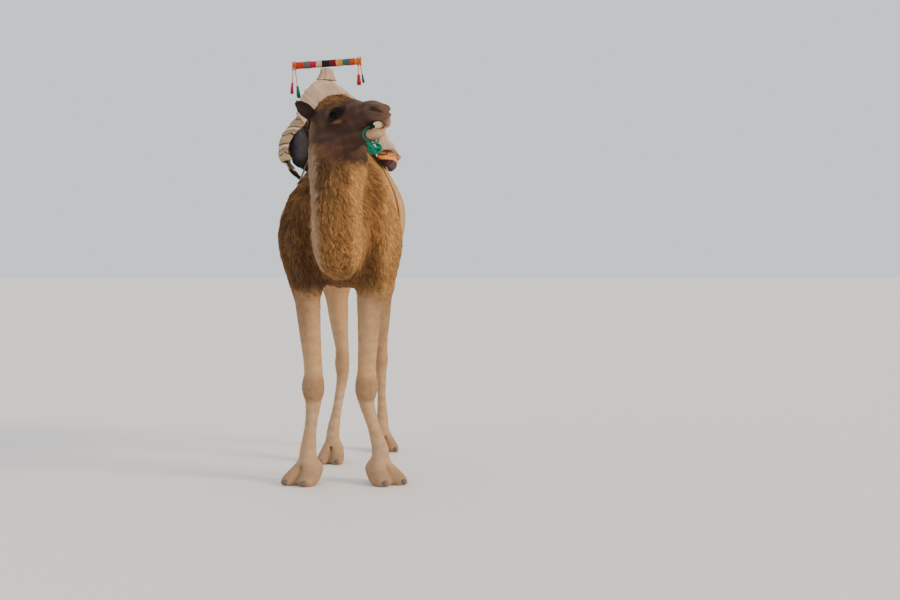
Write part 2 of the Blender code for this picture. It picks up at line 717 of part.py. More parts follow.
def blankets():
    """The striped blanket over pads and hump, the cream one on top of it, and the fringe."""
    # from the camel's right, over the top, to its left
    skirt = [(-0.358, 1.738), (-0.383, 1.788), (-0.370, 1.866), (-0.326, 1.936)]
    over = [(-0.266, 1.998), (-0.244, 2.088), (-0.193, 2.158), (-0.130, 2.182), (-0.064, 2.168),
            (0.000, 2.124), (0.083, 2.044), (0.190, 1.920), (0.268, 1.804)]
    fringe = [(-0.290, 1.682), (-0.318, 1.700), (-0.341, 1.731)]
    # how far along, how much lower the top is there, and how much wider
    places = ((0.275, 0.012, 0.97), (0.40, 0.0, 1.0), (0.60, 0.006, 1.02), (0.78, 0.038, 1.04),
              (0.92, 0.100, 1.04), (1.03, 0.180, 1.02))

    def arches(points):
        return [(y, [(x * wide, z - lower * min(1, max(0.04, (z - 1.80) / 0.38))) for x, z in points])
                for y, lower, wide in places]

    top, down = draped(arches(skirt + over), 1)
    first = len(skirt)
    bore(sheet("blanket_cream", top[:, first:], down[:, first:], BLANKET_THICKNESS))
    striped = sheet("blanket_striped", top + down * (BLANKET_THICKNESS + 0.002), down, BLANKET_THICKNESS)
    bore(striped)
    sheet("fringe", *draped(arches(fringe), 1), 0.006)
    return striped


def girth(trunk):
    """A strap in one turn round the trunk, behind the front legs, close to the surface."""
    from_bm = bmesh.new()
    from_bm.from_mesh(trunk.data)
    bmesh.ops.triangulate(from_bm, faces=from_bm.faces)
    tree = BVHTree.FromBMesh(from_bm)
    from_bm.free()

    def reach(y, angle):
        """How far the trunk's surface lies from the strap's middle line, at the most round about."""
        far = 0
        for turn in (-0.4, -0.2, 0, 0.2, 0.4):
            way = angle + turn * step
            out = Vector((math.cos(way), 0, math.sin(way)))
            for shift in (-0.012, 0, 0.012):
                hit = tree.ray_cast(Vector((0, y + shift, 1.50)) + out * 1.2, -out)[0]
                far = max(far, math.hypot(hit.x, hit.z - 1.50))
        return far

    rows, step = [], 2 * math.pi / GIRTH_SIDES
    for k in range(GIRTH_SIDES):
        out = Vector((math.cos(k * step), 0, math.sin(k * step)))
        row = [Vector((0, y, 1.50)) + out * (reach(y, k * step) + lift)
               for y in (0.38, 0.43) for lift in (0.006, 0.011)]
        rows.append((row[0], row[1], row[3], row[2]))
    count = len(rows)
    points = [p for row in rows for p in row]
    faces = [(4 * k + j, 4 * k + (j + 1) % 4, 4 * ((k + 1) % count) + (j + 1) % 4, 4 * ((k + 1) % count) + j)
             for k in range(count) for j in range(4)]
    bm = bmesh.new()
    verts = [bm.verts.new(p) for p in points]
    for face in faces:
        bm.faces.new([verts[i] for i in face])
    return from_bmesh("girth", bm)


def tassels():
    """What hangs from the two ends of the handle's bar, each a short cord with a tassel on it."""
    # the top and the end of the whole, the cord's share of it, and the tassel's radius
    hung = {
        "right_pink": ((-0.297, 2.249), (-0.304, 2.116), 0.50, 0.0115),
        "right_green": ((-0.284, 2.249), (-0.264, 2.092), 0.55, 0.0135),
        "left_red": ((0.064, 2.275), (0.069, 2.166), 0.45, 0.0150),
        "left_black": ((0.077, 2.275), (0.094, 2.180), 0.48, 0.0085),
    }
    for name, ((x0, z0), (x1, z1), share, radius) in hung.items():
        top, end = Vector((x0, BAR_RIGHT.y, z0)), Vector((x1, BAR_RIGHT.y, z1))
        knot = top.lerp(end, share)
        turned(f"cord_{name}", [(0, CORD_RADIUS), (1, CORD_RADIUS)], top, knot, 8)
        start = knot + (end - top).normalized() * GAP
        turned(f"tassel_{name}", [(0, 0.4 * radius), (0.12, 0.8 * radius), (0.75, radius), (1, 0.85 * radius)],
               start, end, 8)


def jaw_rope(*nodes):
    """The rope's loop round the lower jaw, and its knot under the chin; the flesh makes room."""
    def loop(name, radius, stretches=16, sides=6):
        ways = [Vector((0.049 * math.cos(a), -0.350 + 0.010 * math.cos(2 * a), -0.121 + 0.041 * math.sin(a)))
                for a in (2 * math.pi * k / stretches for k in range(stretches))]
        bm = bmesh.new()
        rings = []
        for before, at, after in zip([ways[-1], *ways], ways, [*ways[1:], ways[0]]):
            way = (after - before).normalized()
            side = Vector((0, 1, 0)).cross(way).normalized()
            rings.append([bm.verts.new(HEAD @ (at + (side * math.cos(b) + way.cross(side) * math.sin(b)) * radius))
                          for b in (2 * math.pi * k / sides for k in range(sides))])
        for one, two in zip(rings, [*rings[1:], rings[0]]):
            for k in range(sides):
                bm.faces.new((one[k], one[(k + 1) % sides], two[(k + 1) % sides], two[k]))
        return from_bmesh(name, bm)

    rope = loop("jaw_rope", ROPE_RADIUS)
    for centre, radii in (((-0.012, -0.352, -0.178), (0.028, 0.017, 0.018)),
                          ((0.016, -0.362, -0.186), (0.024, 0.019, 0.017)),
                          ((0.002, -0.354, -0.203), (0.021, 0.016, 0.016))):
        lump = sphere("lump", centre, radii, HEAD, 8)
        combined(rope, lump, "UNION")
        dropped(lump)
    room = loop("room", ROPE_RADIUS + 0.0012)
    for node in nodes:
        combined(node, room, "DIFFERENCE")
        largest_island(node)
    dropped(room)


def painted(colours):
    """Gives each node its own material."""
    for obj in bpy.data.objects:
        words = next(key for key in colours if obj.name.startswith(key))
        colour, roughness = colours[words]
        material = bpy.data.materials.new(obj.name)
        material.use_nodes = True
        shader = material.node_tree.nodes["Principled BSDF"]
        shader.inputs["Base Color"].default_value = (*colour, 1)
        shader.inputs["Roughness"].default_value = roughness
        shader.inputs["Metallic"].default_value = 1.0 if words == "saddle_frame" else 0.0
        obj.data.materials.clear()
        obj.data.materials.append(material)


def centred():
    """Moves every node so that the origin is the middle of the footprint box, on the ground."""
    points = np.array([v.co for obj in bpy.data.objects for v in obj.data.vertices])
    low, high = points.min(axis=0), points.max(axis=0)
    shift = Matrix.Translation((-(low[0] + high[0]) / 2, -(low[1] + high[1]) / 2, -low[2]))
    for obj in bpy.data.objects:
        obj.data.transform(shift)


# colour and roughness of the nodes whose names start with these words
COLOURS = {
    "trunk": ((0.50, 0.30, 0.13), 0.9),
    "neck": ((0.50, 0.30, 0.13), 0.9),
    "tail": ((0.36, 0.22, 0.11), 0.9),
    "leg": ((0.58, 0.40, 0.22), 0.9),
    "head": ((0.27, 0.16, 0.09), 0.9),
    "lower_jaw": ((0.42, 0.28, 0.17), 0.85),
    "ear": ((0.20, 0.12, 0.07), 0.9),
    "eye": ((0.02, 0.012, 0.008), 0.1),
    "toenail": ((0.12, 0.10, 0.08), 0.6),
    "saddle_frame": ((0.10, 0.09, 0.08), 0.5),
    "handle_bar": ((0.45, 0.06, 0.05), 0.9),
    "post_wrap": ((0.72, 0.62, 0.45), 0.9),
    "pad_right": ((0.10, 0.10, 0.11), 0.9),
    "pad_left": ((0.16, 0.03, 0.03), 0.9),
    "blanket_cream": ((0.66, 0.52, 0.40), 0.9),
    "blanket_striped": ((0.55, 0.45, 0.33), 0.9),
    "fringe": ((0.03, 0.025, 0.02), 0.9),
    "girth": ((0.62, 0.52, 0.38), 0.85),
    "tassel_right_pink": ((0.50, 0.03, 0.12), 0.9),
    "tassel_right_green": ((0.02, 0.22, 0.12), 0.9),
    "tassel_left_red": ((0.50, 0.05, 0.03), 0.9),
    "tassel_left_black": ((0.03, 0.03, 0.05), 0.9),
    "cord_right": ((0.65, 0.22, 0.03), 0.9),
    "cord_left": ((0.70, 0.40, 0.05), 0.9),
    "jaw_rope": ((0.05, 0.38, 0.28), 0.8),
}


def main():
    for obj in list(bpy.data.objects):
        bpy.data.objects.remove(obj)
    trunk = animal_nodes()
    pads(trunk, girth(trunk), blankets())
    frame_and_handle()
    tassels()
    jaw_rope(bpy.data.objects["head"], bpy.data.objects["lower_jaw"])
    painted(COLOURS)
    centred()


if __name__ == "__main__":
    main()
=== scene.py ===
"""The looks of a life-size dromedary in its riding tack: skin, coat, eyes, teeth, nails, saddle
blankets, pads, fringe, girth, handle, tassels and the cord round the jaw.

Metres, +Z up. The camel faces -Y and its left side is +X. Shapes are worked out round the camel's
own reference point, on the ground between its front feet, and moved to the model's place by ANCHOR.
"""

import math

import bmesh
import bpy
import numpy as np
from bpy.props import FloatProperty, FloatVectorProperty, IntProperty, PointerProperty
from mathutils import Matrix, Vector
from mathutils.bvhtree import BVHTree


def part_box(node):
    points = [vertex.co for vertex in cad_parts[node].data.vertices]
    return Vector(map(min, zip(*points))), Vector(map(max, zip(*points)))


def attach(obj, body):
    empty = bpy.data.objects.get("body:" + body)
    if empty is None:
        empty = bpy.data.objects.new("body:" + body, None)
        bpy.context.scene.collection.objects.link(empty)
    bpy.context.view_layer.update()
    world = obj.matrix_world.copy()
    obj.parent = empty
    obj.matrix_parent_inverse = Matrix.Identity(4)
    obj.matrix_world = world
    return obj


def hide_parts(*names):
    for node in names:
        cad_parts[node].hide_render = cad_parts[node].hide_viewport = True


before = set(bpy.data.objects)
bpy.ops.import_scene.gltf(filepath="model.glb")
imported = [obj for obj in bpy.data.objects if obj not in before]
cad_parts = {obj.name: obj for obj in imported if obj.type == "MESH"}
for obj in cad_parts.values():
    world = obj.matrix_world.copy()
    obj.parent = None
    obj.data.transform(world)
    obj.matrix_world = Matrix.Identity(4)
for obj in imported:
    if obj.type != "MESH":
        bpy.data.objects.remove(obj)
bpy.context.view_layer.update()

bl_info = {
    "name": "Saddled dromedary",
    "version": (1, 0, 0),
    "blender": (4, 5, 0),
    "location": "3D View > Sidebar > Camel",
    "description": "Skin, coat and riding tack of a standing dromedary",
    "category": "Object",
}

# ---- places
KNEE = 0.52
HOCK = 0.575
FETLOCK = 0.15
EYE_RADIUS = 0.0215
POLL = Vector((-0.045, -0.46, 1.904))
HEAD = (Matrix.Translation(POLL)
        @ Matrix.Rotation(math.radians(43), 4, "Z")
        @ Matrix.Rotation(math.radians(-4), 4, "X"))
THROAT = HEAD @ Matrix.Translation((0, -0.02, -0.155)) @ Matrix.Rotation(math.radians(-63), 4, "X")
EYE = (0.07, -0.172, -0.006)
MOUTH_CORNER = (-0.325, -0.08)
EAR_ROOT = (0.074, -0.014, -0.004)
EAR_TIP = (0.144, 0.046, 0.084)
EAR_FACES = (0.68, -0.73, 0)
POST_FOOT = Vector((-0.115, 0.395, 2.105))
POST_TOP = Vector((-0.11, 0.395, 2.262))
BAR_RIGHT = Vector((-0.292, 0.395, 2.274))
BAR_LEFT = Vector((0.074, 0.395, 2.3))
BAR_RADIUS = 0.0215
POST_RADIUS = 0.011
ROPE_RADIUS = 0.0055
KNOT_RADIUS = 0.0072
CORD_RADIUS = 0.0025
HEAD_CUT = 1.7        # height at which the fine skin of the head meets the body's
LEG_CUT = 0.98         # and that of the legs
HEAD_REACH = -0.2      # the head's skin is all in front of this
SEAM = 0.003           # gap left at a cut, which a strip of faces bridges
SOLE = 0.0004          # height of the soles over the floor

low_corner, high_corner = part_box("eye_left")
ANCHOR = np.array((low_corner + high_corner) / 2 - HEAD @ Vector(EYE))
HEAD_BACK = np.array(HEAD.inverted())
THROAT_BACK = np.array(THROAT.inverted())

# ---- the body's masses
# A mass is a tube through stations, each one (across, along, up, half width, half depth).
BARREL = [
    (0.0, -0.08, 1.42, 0.12, 0.18),
    (0.0, 0.06, 1.43, 0.2, 0.28),
    (0.0, 0.25, 1.43, 0.262, 0.35),
    (0.0, 0.48, 1.425, 0.302, 0.362),
    (0.01, 0.72, 1.44, 0.312, 0.338),
    (0.02, 0.95, 1.48, 0.27, 0.278),
    (0.03, 1.16, 1.49, 0.218, 0.225),
    (0.03, 1.33, 1.45, 0.165, 0.195),
    (0.03, 1.43, 1.4, 0.1, 0.135),
]
HUMP = [
    (0.0, 0.28, 1.6, 0.09, 0.12),
    (-0.02, 0.46, 1.73, 0.128, 0.225),
    (-0.03, 0.65, 1.78, 0.138, 0.278),
    (-0.02, 0.83, 1.715, 0.128, 0.22),
    (0.01, 1.03, 1.57, 0.09, 0.13),
]
NECK = [
    (0.0, 0.04, 1.46, 0.17, 0.225),
    (0.005, -0.16, 1.36, 0.15, 0.212),
    (0.01, -0.35, 1.285, 0.134, 0.18),
    (0.012, -0.505, 1.35, 0.13, 0.16),
    (0.015, -0.56, 1.51, 0.132, 0.145),
    (0.018, -0.52, 1.66, 0.15, 0.136),
    (0.0, -0.445, 1.785, 0.136, 0.12),
    (-0.03, -0.4, 1.865, 0.086, 0.082),
]
BRISKET = [
    (0.0, -0.06, 1.22, 0.1, 0.1),
    (0.0, 0.08, 1.155, 0.135, 0.095),
    (0.0, 0.24, 1.15, 0.135, 0.085),
]
TAIL = [
    (0.03, 1.4, 1.5, 0.045, 0.04),
    (0.03, 1.5, 1.475, 0.036, 0.034),
    (0.03, 1.565, 1.38, 0.028, 0.028),
    (0.025, 1.58, 1.22, 0.024, 0.024),
    (0.02, 1.582, 1.08, 0.032, 0.03),
    (0.02, 1.58, 0.96, 0.036, 0.032),
    (0.02, 1.578, 0.87, 0.02, 0.018),
]

# The head's masses, in the head's own frame.
SKULL = [
    (0.0, 0.03, -0.03, 0.055, 0.065),
    (0.0, -0.05, 0.0, 0.082, 0.08),
    (0.0, -0.13, 0.012, 0.086, 0.084),
    (0.0, -0.2, 0.004, 0.072, 0.075),
    (0.0, -0.28, -0.01, 0.056, 0.062),
    (0.0, -0.36, -0.006, 0.048, 0.054),
    (0.0, -0.408, -0.021, 0.048, 0.047),
    (0.0, -0.436, -0.041, 0.034, 0.036),
]
JAW = [
    (0.0, -0.03, -0.11, 0.056, 0.062),
    (0.0, -0.12, -0.124, 0.064, 0.066),
    (0.0, -0.21, -0.119, 0.053, 0.05),
    (0.0, -0.3, -0.119, 0.043, 0.039),
    (0.0, -0.37, -0.116, 0.041, 0.031),
    (0.0, -0.41, -0.111, 0.034, 0.026),
]
TOPKNOT = [
    (0.0, 0.01, 0.055, 0.05, 0.038),
    (0.0, -0.07, 0.08, 0.056, 0.036),
    (0.0, -0.14, 0.074, 0.046, 0.03),
]
MOUTH = [
    (0.0, MOUTH_CORNER[0] + 0.03, MOUTH_CORNER[1] - 0.006, 0.08, 0.005),
    (0.0, MOUTH_CORNER[0] - 0.006, MOUTH_CORNER[1], 0.08, 0.009),
    (0.0, -0.39, -0.079, 0.08, 0.018),
    (0.0, -0.52, -0.076, 0.08, 0.026),
]


def mirrored(stations, side):
    """The same stations on the camel's left (side 1) or right (side -1)."""
    return [(side * x, y, z, w, d) for x, y, z, w, d in stations]


def shoulder(side):
    """Shoulder and upper arm; the wool is fuller on the camel's right."""
    wool = 0.018 if side < 0 else 0
    return mirrored([
        (0.105 + wool, 0.2, 1.66, 0.062, 0.085),
        (0.176 + 1.5 * wool, 0.09, 1.5, 0.092, 0.145),
        (0.222 + wool, 0.03, 1.33, 0.104, 0.165),
        (0.214 + 0.6 * wool, 0.07, 1.17, 0.09, 0.145),
        (0.186, 0.1, 1.06, 0.078, 0.11),
    ], side)


def front_leg(elbow, knee, fetlock):
    """Forearm, knee, cannon and fetlock, through joints given as (across, along)."""
    (ex, ey), (kx, ky), (fx, fy) = elbow, knee, fetlock
    return [
        (ex, ey, 1.12, 0.082, 0.112),
        (0.5 * (ex + kx), 0.5 * (ey + ky), 0.84, 0.062, 0.076),
        (kx, ky + 0.005, KNEE + 0.1, 0.052, 0.058),
        (kx, ky - 0.006, KNEE, 0.064, 0.066),
        (kx, ky + 0.006, KNEE - 0.08, 0.046, 0.048),
        (0.5 * (kx + fx), 0.5 * (ky + fy), 0.31, 0.036, 0.042),
        (fx, fy + 0.005, FETLOCK + 0.03, 0.048, 0.054),
        (fx, fy - 0.015, FETLOCK - 0.05, 0.056, 0.062),
    ]


def thigh(side, stifle):
    sx, sy = stifle
    hip = side * 0.12 + 0.03
    return [
        (hip - side * 0.02, 1.25, 1.52, 0.09, 0.15),
        (hip, 0.35 * sy + 0.65 * 1.22, 1.36, 0.1, 0.2),
        (0.5 * (sx + hip), 0.75 * sy + 0.25 * 1.2, 1.2, 0.092, 0.175),
        (sx, sy + 0.02, 1.05, 0.078, 0.118),
    ]


def hind_leg(stifle, hock, fetlock):
    """Gaskin, hock, cannon and fetlock, through joints given as (across, along)."""
    (sx, sy), (hx, hy), (fx, fy) = stifle, hock, fetlock
    return [
        (sx, sy + 0.02, 1.09, 0.078, 0.115),
        (0.5 * (sx + hx), 0.5 * (sy + hy) - 0.01, 0.86, 0.06, 0.08),
        (hx, hy - 0.015, HOCK + 0.1, 0.043, 0.056),
        (hx, hy, HOCK, 0.046, 0.062),
        (hx, hy - 0.01, HOCK - 0.09, 0.037, 0.046),
        (0.5 * (hx + fx), 0.5 * (hy + fy), 0.33, 0.03, 0.038),
        (fx, fy + 0.005, FETLOCK + 0.03, 0.041, 0.048),
        (fx, fy - 0.01, FETLOCK - 0.05, 0.047, 0.054),
    ]


LEGS = {
    # (across, along) of elbow or stifle, knee or hock, and fetlock
    "front_right": dict(joints=((-0.2, 0.1), (-0.162, 0.085), (-0.192, 0.1)),
                        heading=math.radians(-27)),
    "front_left": dict(joints=((0.148, 0.1), (0.124, 0.085), (0.196, 0.1)),
                       heading=math.radians(35)),
    "hind_right": dict(joints=((-0.108, 0.95), (-0.074, 1.03), (-0.12, 0.9)),
                       heading=math.radians(-8)),
    "hind_left": dict(joints=((0.158, 1.07), (0.14, 1.46), (0.148, 1.43)),
                      heading=math.radians(18)),
}
TOE_SPLAY = math.radians(11)
TOE_SIZE = {"front": (0.146, 0.104), "hind": (0.124, 0.084)}     # length and width


def toe_way(leg, side):
    """Where a toe starts on the ground and the way it runs; side is -1 or 1."""
    heading = LEGS[leg]["heading"]
    fetlock = LEGS[leg]["joints"][2]
    width = TOE_SIZE[leg.split("_")[0]][1]
    start = Vector(fetlock) + Vector((math.cos(heading), math.sin(heading))) * side * 0.3 * width
    angle = heading + side * TOE_SPLAY
    return start, Vector((math.sin(angle), -math.cos(angle)))


def toe(leg, side):
    """One of a foot's two broad padded toes, out from under the fetlock."""
    length, width = TOE_SIZE[leg.split("_")[0]]
    start, out = toe_way(leg, side)
    rows = [
        (-0.22, 0.08, 0.46, 0.05),
        (0.1, 0.06, 0.52, 0.062),
        (0.45, 0.036, 0.54, 0.05),
        (0.74, 0.024, 0.47, 0.037),
        (0.9, 0.018, 0.34, 0.026),
    ]
    return [(*(start + out * length * reach), up, width * share, depth)
            for reach, up, share, depth in rows]


# ---- the distance field
def in_between(rows, steps):
    """Catmull-Rom points through rows of numbers, steps to each stretch, ends included."""
    rows = np.array(rows, float)
    rows = np.vstack([2 * rows[0] - rows[1], rows, 2 * rows[-1] - rows[-2]])
    t = (np.arange(steps) / steps)[:, None]
    found = [0.5 * (2 * b + (c - a) * t + (2 * a - 5 * b + 4 * c - d) * t ** 2
                    + (3 * b - a - 3 * c + d) * t ** 3)
             for a, b, c, d in zip(rows, rows[1:], rows[2:], rows[3:])]
    return np.vstack([*found, rows[-2]])


def unit(vectors):
    return vectors / np.linalg.norm(vectors, axis=-1, keepdims=True)


class Mass:
    """A tube with rounded ends through stations, widest towards aside; it adds to a field, or carves it."""

    def __init__(self, stations, place=None, blend=0.05, cap=0.7, carves=False, steps=5, aside=(1, 0, 0)):
        rows = in_between(stations, steps)
        centres, self.sizes = rows[:, :3], rows[:, 3:]
        ways = unit(np.gradient(centres, axis=0))
        across = unit(np.array(aside) - ways * (ways @ np.array(aside))[:, None])
        upward = np.cross(ways, across)
        turn = np.array(place.to_3x3()) if place else np.eye(3)
        shift = np.array(place.translation) if place else np.zeros(3)
        self.centres = centres @ turn.T + shift
        self.across, self.upward = across @ turn.T, upward @ turn.T
        self.blend, self.cap, self.carves = blend, cap, carves

    def stretches(self, reach):
        """Each stretch's box corners, grown by reach, and its distance function."""
        grow = self.sizes.max(axis=1) + reach
        last = len(self.centres) - 2
        for k in range(last + 1):
            ends, room = self.centres[k:k + 2], grow[k:k + 2, None]
            yield (ends - room).min(axis=0), (ends + room).max(axis=0), self.distance(k, last)

    def distance(self, k, last):
        one, two = self.centres[k], self.centres[k + 1]
        span = two - one
        length = span @ span

        def measured(points):
            t = sum((p - a) * s for p, a, s in zip(points, one, span)) / length
            past = np.where(t < 0, t, np.maximum(t - 1, 0)) * math.sqrt(length)
            t = np.clip(t, 0, 1)
            width, depth = (a + (b - a) * t for a, b in zip(self.sizes[k], self.sizes[k + 1]))
            short = np.minimum(width, depth)
            if k == 0:
                short = np.where(past < 0, short * self.cap, short)
            if k == last:
                short = np.where(past > 0, short * self.cap, short)
            rel = [p - (a + t * s) for p, a, s in zip(points, one, span)]
            u, v = (sum(r * (a + (b - a) * t) for r, a, b in zip(rel, axes[k], axes[k + 1]))
                    for axes in (self.across, self.upward))
            parts = u / width, v / depth, past / short
            reach = np.sqrt(sum(p * p for p in parts))
            slope = np.sqrt(sum((p / s) ** 2 for p, s in zip(parts, (width, depth, short))))
            return reach * (reach - 1) / np.maximum(slope, 1e-6)

        return measured


def ball(centre, radii, place=None, **how):
    """A mass shaped as an ellipsoid whose long way is along the frame's Y."""
    x, y, z = centre
    core = 0.02 * radii[1]
    return Mass([(x, y - core, z, radii[0], radii[2]), (x, y + core, z, radii[0], radii[2])], place,
        steps=1, cap=radii[1] / min(radii[0], radii[2]), **how)


def joined(a, b, blend):
    """The union of two distances, its crease filled over the blend."""
    h = np.maximum(blend - np.abs(a - b), 0) / blend
    return np.minimum(a, b) - 0.25 * blend * h * h


def body_masses():
    """Everything from the trunk to the feet and up to the throat."""
    masses = [Mass(BARREL), Mass(HUMP, blend=0.2), Mass(NECK, blend=0.12), Mass(BRISKET, blend=0.1)]
    masses += [Mass(shoulder(side), blend=0.045) for side in (-1, 1)]
    for name, leg in LEGS.items():
        upper, middle, lower = leg["joints"]
        if name.startswith("front"):
            masses.append(Mass(front_leg(upper, middle, lower), blend=0.05))
        else:
            masses.append(Mass(thigh(math.copysign(1, upper[0]), upper), blend=0.1))
            masses.append(Mass(hind_leg(upper, middle, lower), blend=0.06))
    for name in LEGS:
        masses += [Mass(toe(name, side), blend=0.03, cap=0.9) for side in (-1, 1)]
    masses.append(Mass(TAIL, blend=0.03))
    return masses


def head_masses():
    """The head on the top of its neck, with the mouth open."""
    masses = [Mass(NECK, blend=0.05), Mass(SKULL, HEAD, blend=0.06), Mass(JAW, HEAD, blend=0.045),
        Mass(TOPKNOT, HEAD, blend=0.03)]
    for side in (-1, 1):
        x, y, z = EYE
        masses.append(ball((side * (x - 0.006), y, z + 0.004), (0.03, 0.04, 0.032), HEAD, blend=0.03))
        masses.append(ball((side * 0.027, -0.42, -0.004), (0.021, 0.034, 0.022), HEAD, blend=0.02))
    masses.append(Mass(MOUTH, HEAD, blend=0.006, carves=True))
    return masses


def distance(masses, points):
    """The distance from each point (a row of three) to the masses, each one added to those before it."""
    reach = 1.3 * max(mass.blend for mass in masses) + 0.03
    value = np.ones(len(points))
    for mass in masses:
        near = np.ones(len(points))
        for low, high, measured in mass.stretches(reach):
            inside = np.flatnonzero(((points > low) & (points < high)).all(axis=1))
            if len(inside):
                near[inside] = np.minimum(near[inside], measured(points[inside].T))
        value = -joined(-value, near, mass.blend) if mass.carves else joined(value, near, mass.blend)
    return value


def stretched(array, times, axis):
    """Linear steps put between the samples along one axis, so many to each old one."""
    ends = np.moveaxis(array, axis, 0)
    t = (np.arange(times) / times)[:, None, None, None]
    made = ends[:-1] * (1 - t) + ends[1:] * t
    made = np.moveaxis(made, 0, 1).reshape(-1, *ends.shape[1:])
    return np.moveaxis(made, 0, axis)


def sampled(masses, low, high, voxel, stride=3):
    """The distance on a grid of cubes: at every third point, and at all points near the surface."""
    counts = [int((b - a) / (voxel * stride)) + 2 for a, b in zip(low, high)]
    axes = [a + voxel * stride * np.arange(n) for a, n in zip(low, counts)]
    grid = np.stack(np.meshgrid(*axes, indexing="ij"), axis=-1)
    value = distance(masses, grid.reshape(-1, 3)).reshape(counts)
    for axis in range(3):
        value = stretched(value, stride, axis)
    near = np.argwhere(np.abs(value) < 1.5 * stride * voxel)
    value[tuple(near.T)] = distance(masses, np.array(low) + near * voxel)
    return value


def surface(value, low, voxel):
    """Points and four-sided faces of the zero surface, one point to each crossed cube."""
    inside = value < 0
    shape = np.array(value.shape) - 1
    corners = [(i, j, k) for i in (0, 1) for j in (0, 1) for k in (0, 1)]

    def shifted(array, corner):
        return array[tuple(slice(c, c + n) for c, n in zip(corner, shape))]

    count = sum(shifted(inside, c).astype(np.int8) for c in corners)
    cells = np.argwhere((count > 0) & (count < 8))
    index = np.full(shape, -1)
    index[tuple(cells.T)] = np.arange(len(cells))
    at = {c: shifted(value, c)[tuple(cells.T)] for c in corners}
    total, crossed = np.zeros((len(cells), 3)), np.zeros(len(cells))
    for a in corners:
        for axis in range(3):
            if a[axis]:
                continue
            b = tuple(c + (n == axis) for n, c in enumerate(a))
            cut = (at[a] < 0) != (at[b] < 0)
            t = np.where(cut, at[a] / np.where(cut, at[a] - at[b], 1), 0)
            total += np.where(cut[:, None], np.array(a) + t[:, None] * np.eye(3)[axis], 0)
            crossed += cut
    points = np.array(low) + (cells + total / crossed[:, None]) * voxel
    faces = []
    for axis in range(3):
        u, v = (axis + 1) % 3, (axis + 2) % 3
        ahead = [slice(None)] * 3
        behind = [slice(None)] * 3
        ahead[axis], behind[axis] = slice(1, None), slice(None, -1)
        one, two = inside[tuple(behind)], inside[tuple(ahead)]
        for flip, cut in ((False, one & ~two), (True, ~one & two)):
            edges = np.argwhere(cut)
            beyond = edges[:, (u, v)]
            edges = edges[((beyond > 0) & (beyond < shape[[u, v]])).all(axis=1)]
            steps = np.zeros((4, 3), int)
            steps[1:3, u] = -1
            steps[2:4, v] = -1
            quad = np.stack([index[tuple((edges + step).T)] for step in steps], axis=1)
            faces.append(quad[:, ::-1] if flip else quad)
    return points, np.vstack(faces)


# ---- numbers over the hide
def ramp(value, start, end):
    """0 before start, 1 after end, and an even S between them."""
    t = np.clip((value - start) / (end - start), 0, 1)
    return t * t * (3 - 2 * t)


def wander(points, size, seed, waves=7):
    """A smooth random number about 0 for each point, whose swells are about so big; a sum of plane waves."""
    rng = np.random.default_rng(seed)
    ways = unit(rng.normal(size=(waves, 3))) * rng.uniform(0.7, 1.6, (waves, 1)) * 2 * math.pi / size
    return np.sin(points @ ways.T + rng.uniform(0, 2 * math.pi, waves)).sum(axis=1) / math.sqrt(waves)


def placed_back(matrix, points):
    """Points in a frame of their own, given the inverse of its placing matrix."""
    return points @ matrix[:3, :3].T + matrix[:3, 3]


def beside(q, place):
    """How far points in the head's frame are from a place that it has on both its sides."""
    return np.abs(q) * (1, 0, 0) + q * (0, 1, 1) - np.array(place)


def on_head(points):
    """1 on the head, 0 on the body, and the change between them over the throat."""
    q = placed_back(HEAD_BACK, points)
    near = ramp(np.linalg.norm(q - np.array((0, -0.15, -0.03)), axis=1), 0.46, 0.4)
    return near * ramp(placed_back(THROAT_BACK, points)[:, 1], 0.02, -0.03)


def on_tail(points):
    return ramp(points[:, 1], 1.46, 1.52) * ramp(points[:, 2], 0.76, 0.82)


def on_legs(points):
    return ramp(points[:, 2], 1.1, 0.96) * (1 - on_tail(points))


def on_crown(points):
    """1 on the woolly crown between the ears and the eyes."""
    hx, hy, hz = placed_back(HEAD_BACK, points).T
    return on_head(points) * ramp(hz, 0.03, 0.062) * ramp(hy, -0.235, -0.165) * ramp(np.abs(hx), 0.085, 0.055)


def on_sleek(points):
    """1 on the two smooth bands down the front of the neck, one on each side of its curly middle."""
    x, y, z = points.T
    middle = np.interp(z, [row[2] for row in NECK[2:]], [row[1] for row in NECK[2:]])
    return (ramp(np.abs(x - 0.008), 0.062, 0.092) * ramp(y - middle, 0.02, -0.05) * ramp(z, 1.02, 1.12)
            * (1 - on_head(points)))


def on_wool(points):
    """1 on neck, chest and shoulders, where the coat is long and curly."""
    return (ramp(points[:, 1], 0.42, 0.1) * (1 - on_head(points)) * (1 - on_legs(points))
            * (1 - 0.75 * on_sleek(points))
            * (1 - 0.65 * ramp(points[:, 0], 0.15, 0.24) * ramp(points[:, 1], -0.24, -0.12)))


def on_muzzle(points):
    q = placed_back(HEAD_BACK, points)
    return on_head(points) * ramp(q[:, 1], -0.29, -0.36)


def under_tack(points):
    """1 where pads, blankets or the girth lie on the coat."""
    _, y, z = points.T
    saddle = ramp(y, 0.25, 0.29) * ramp(y, 1.05, 1.0) * ramp(z, 1.7, 1.76)
    strap = ramp(np.abs(y - 0.405), 0.04, 0.028) * ramp(z, 1.0, 1.05)
    return np.maximum(saddle, strap)


def coat_depth(points):
    """How far the skin lies inside the tips of the coat."""
    head, crown, legs, wool, tail = (f(points) for f in (on_head, on_crown, on_legs, on_wool, on_tail))
    body = 0.0075 + 0.0055 * wool
    body = body * (1 - legs) + 0.0035 * legs
    body = body * (1 - tail) + 0.009 * tail
    face = 0.0022 + 0.011 * crown
    return body * (1 - head) + face * head


def mixed(first, second, share):
    """Colours between two, by a share from 0 to 1 for each point."""
    return first + (np.asarray(second) - first) * share[:, None]


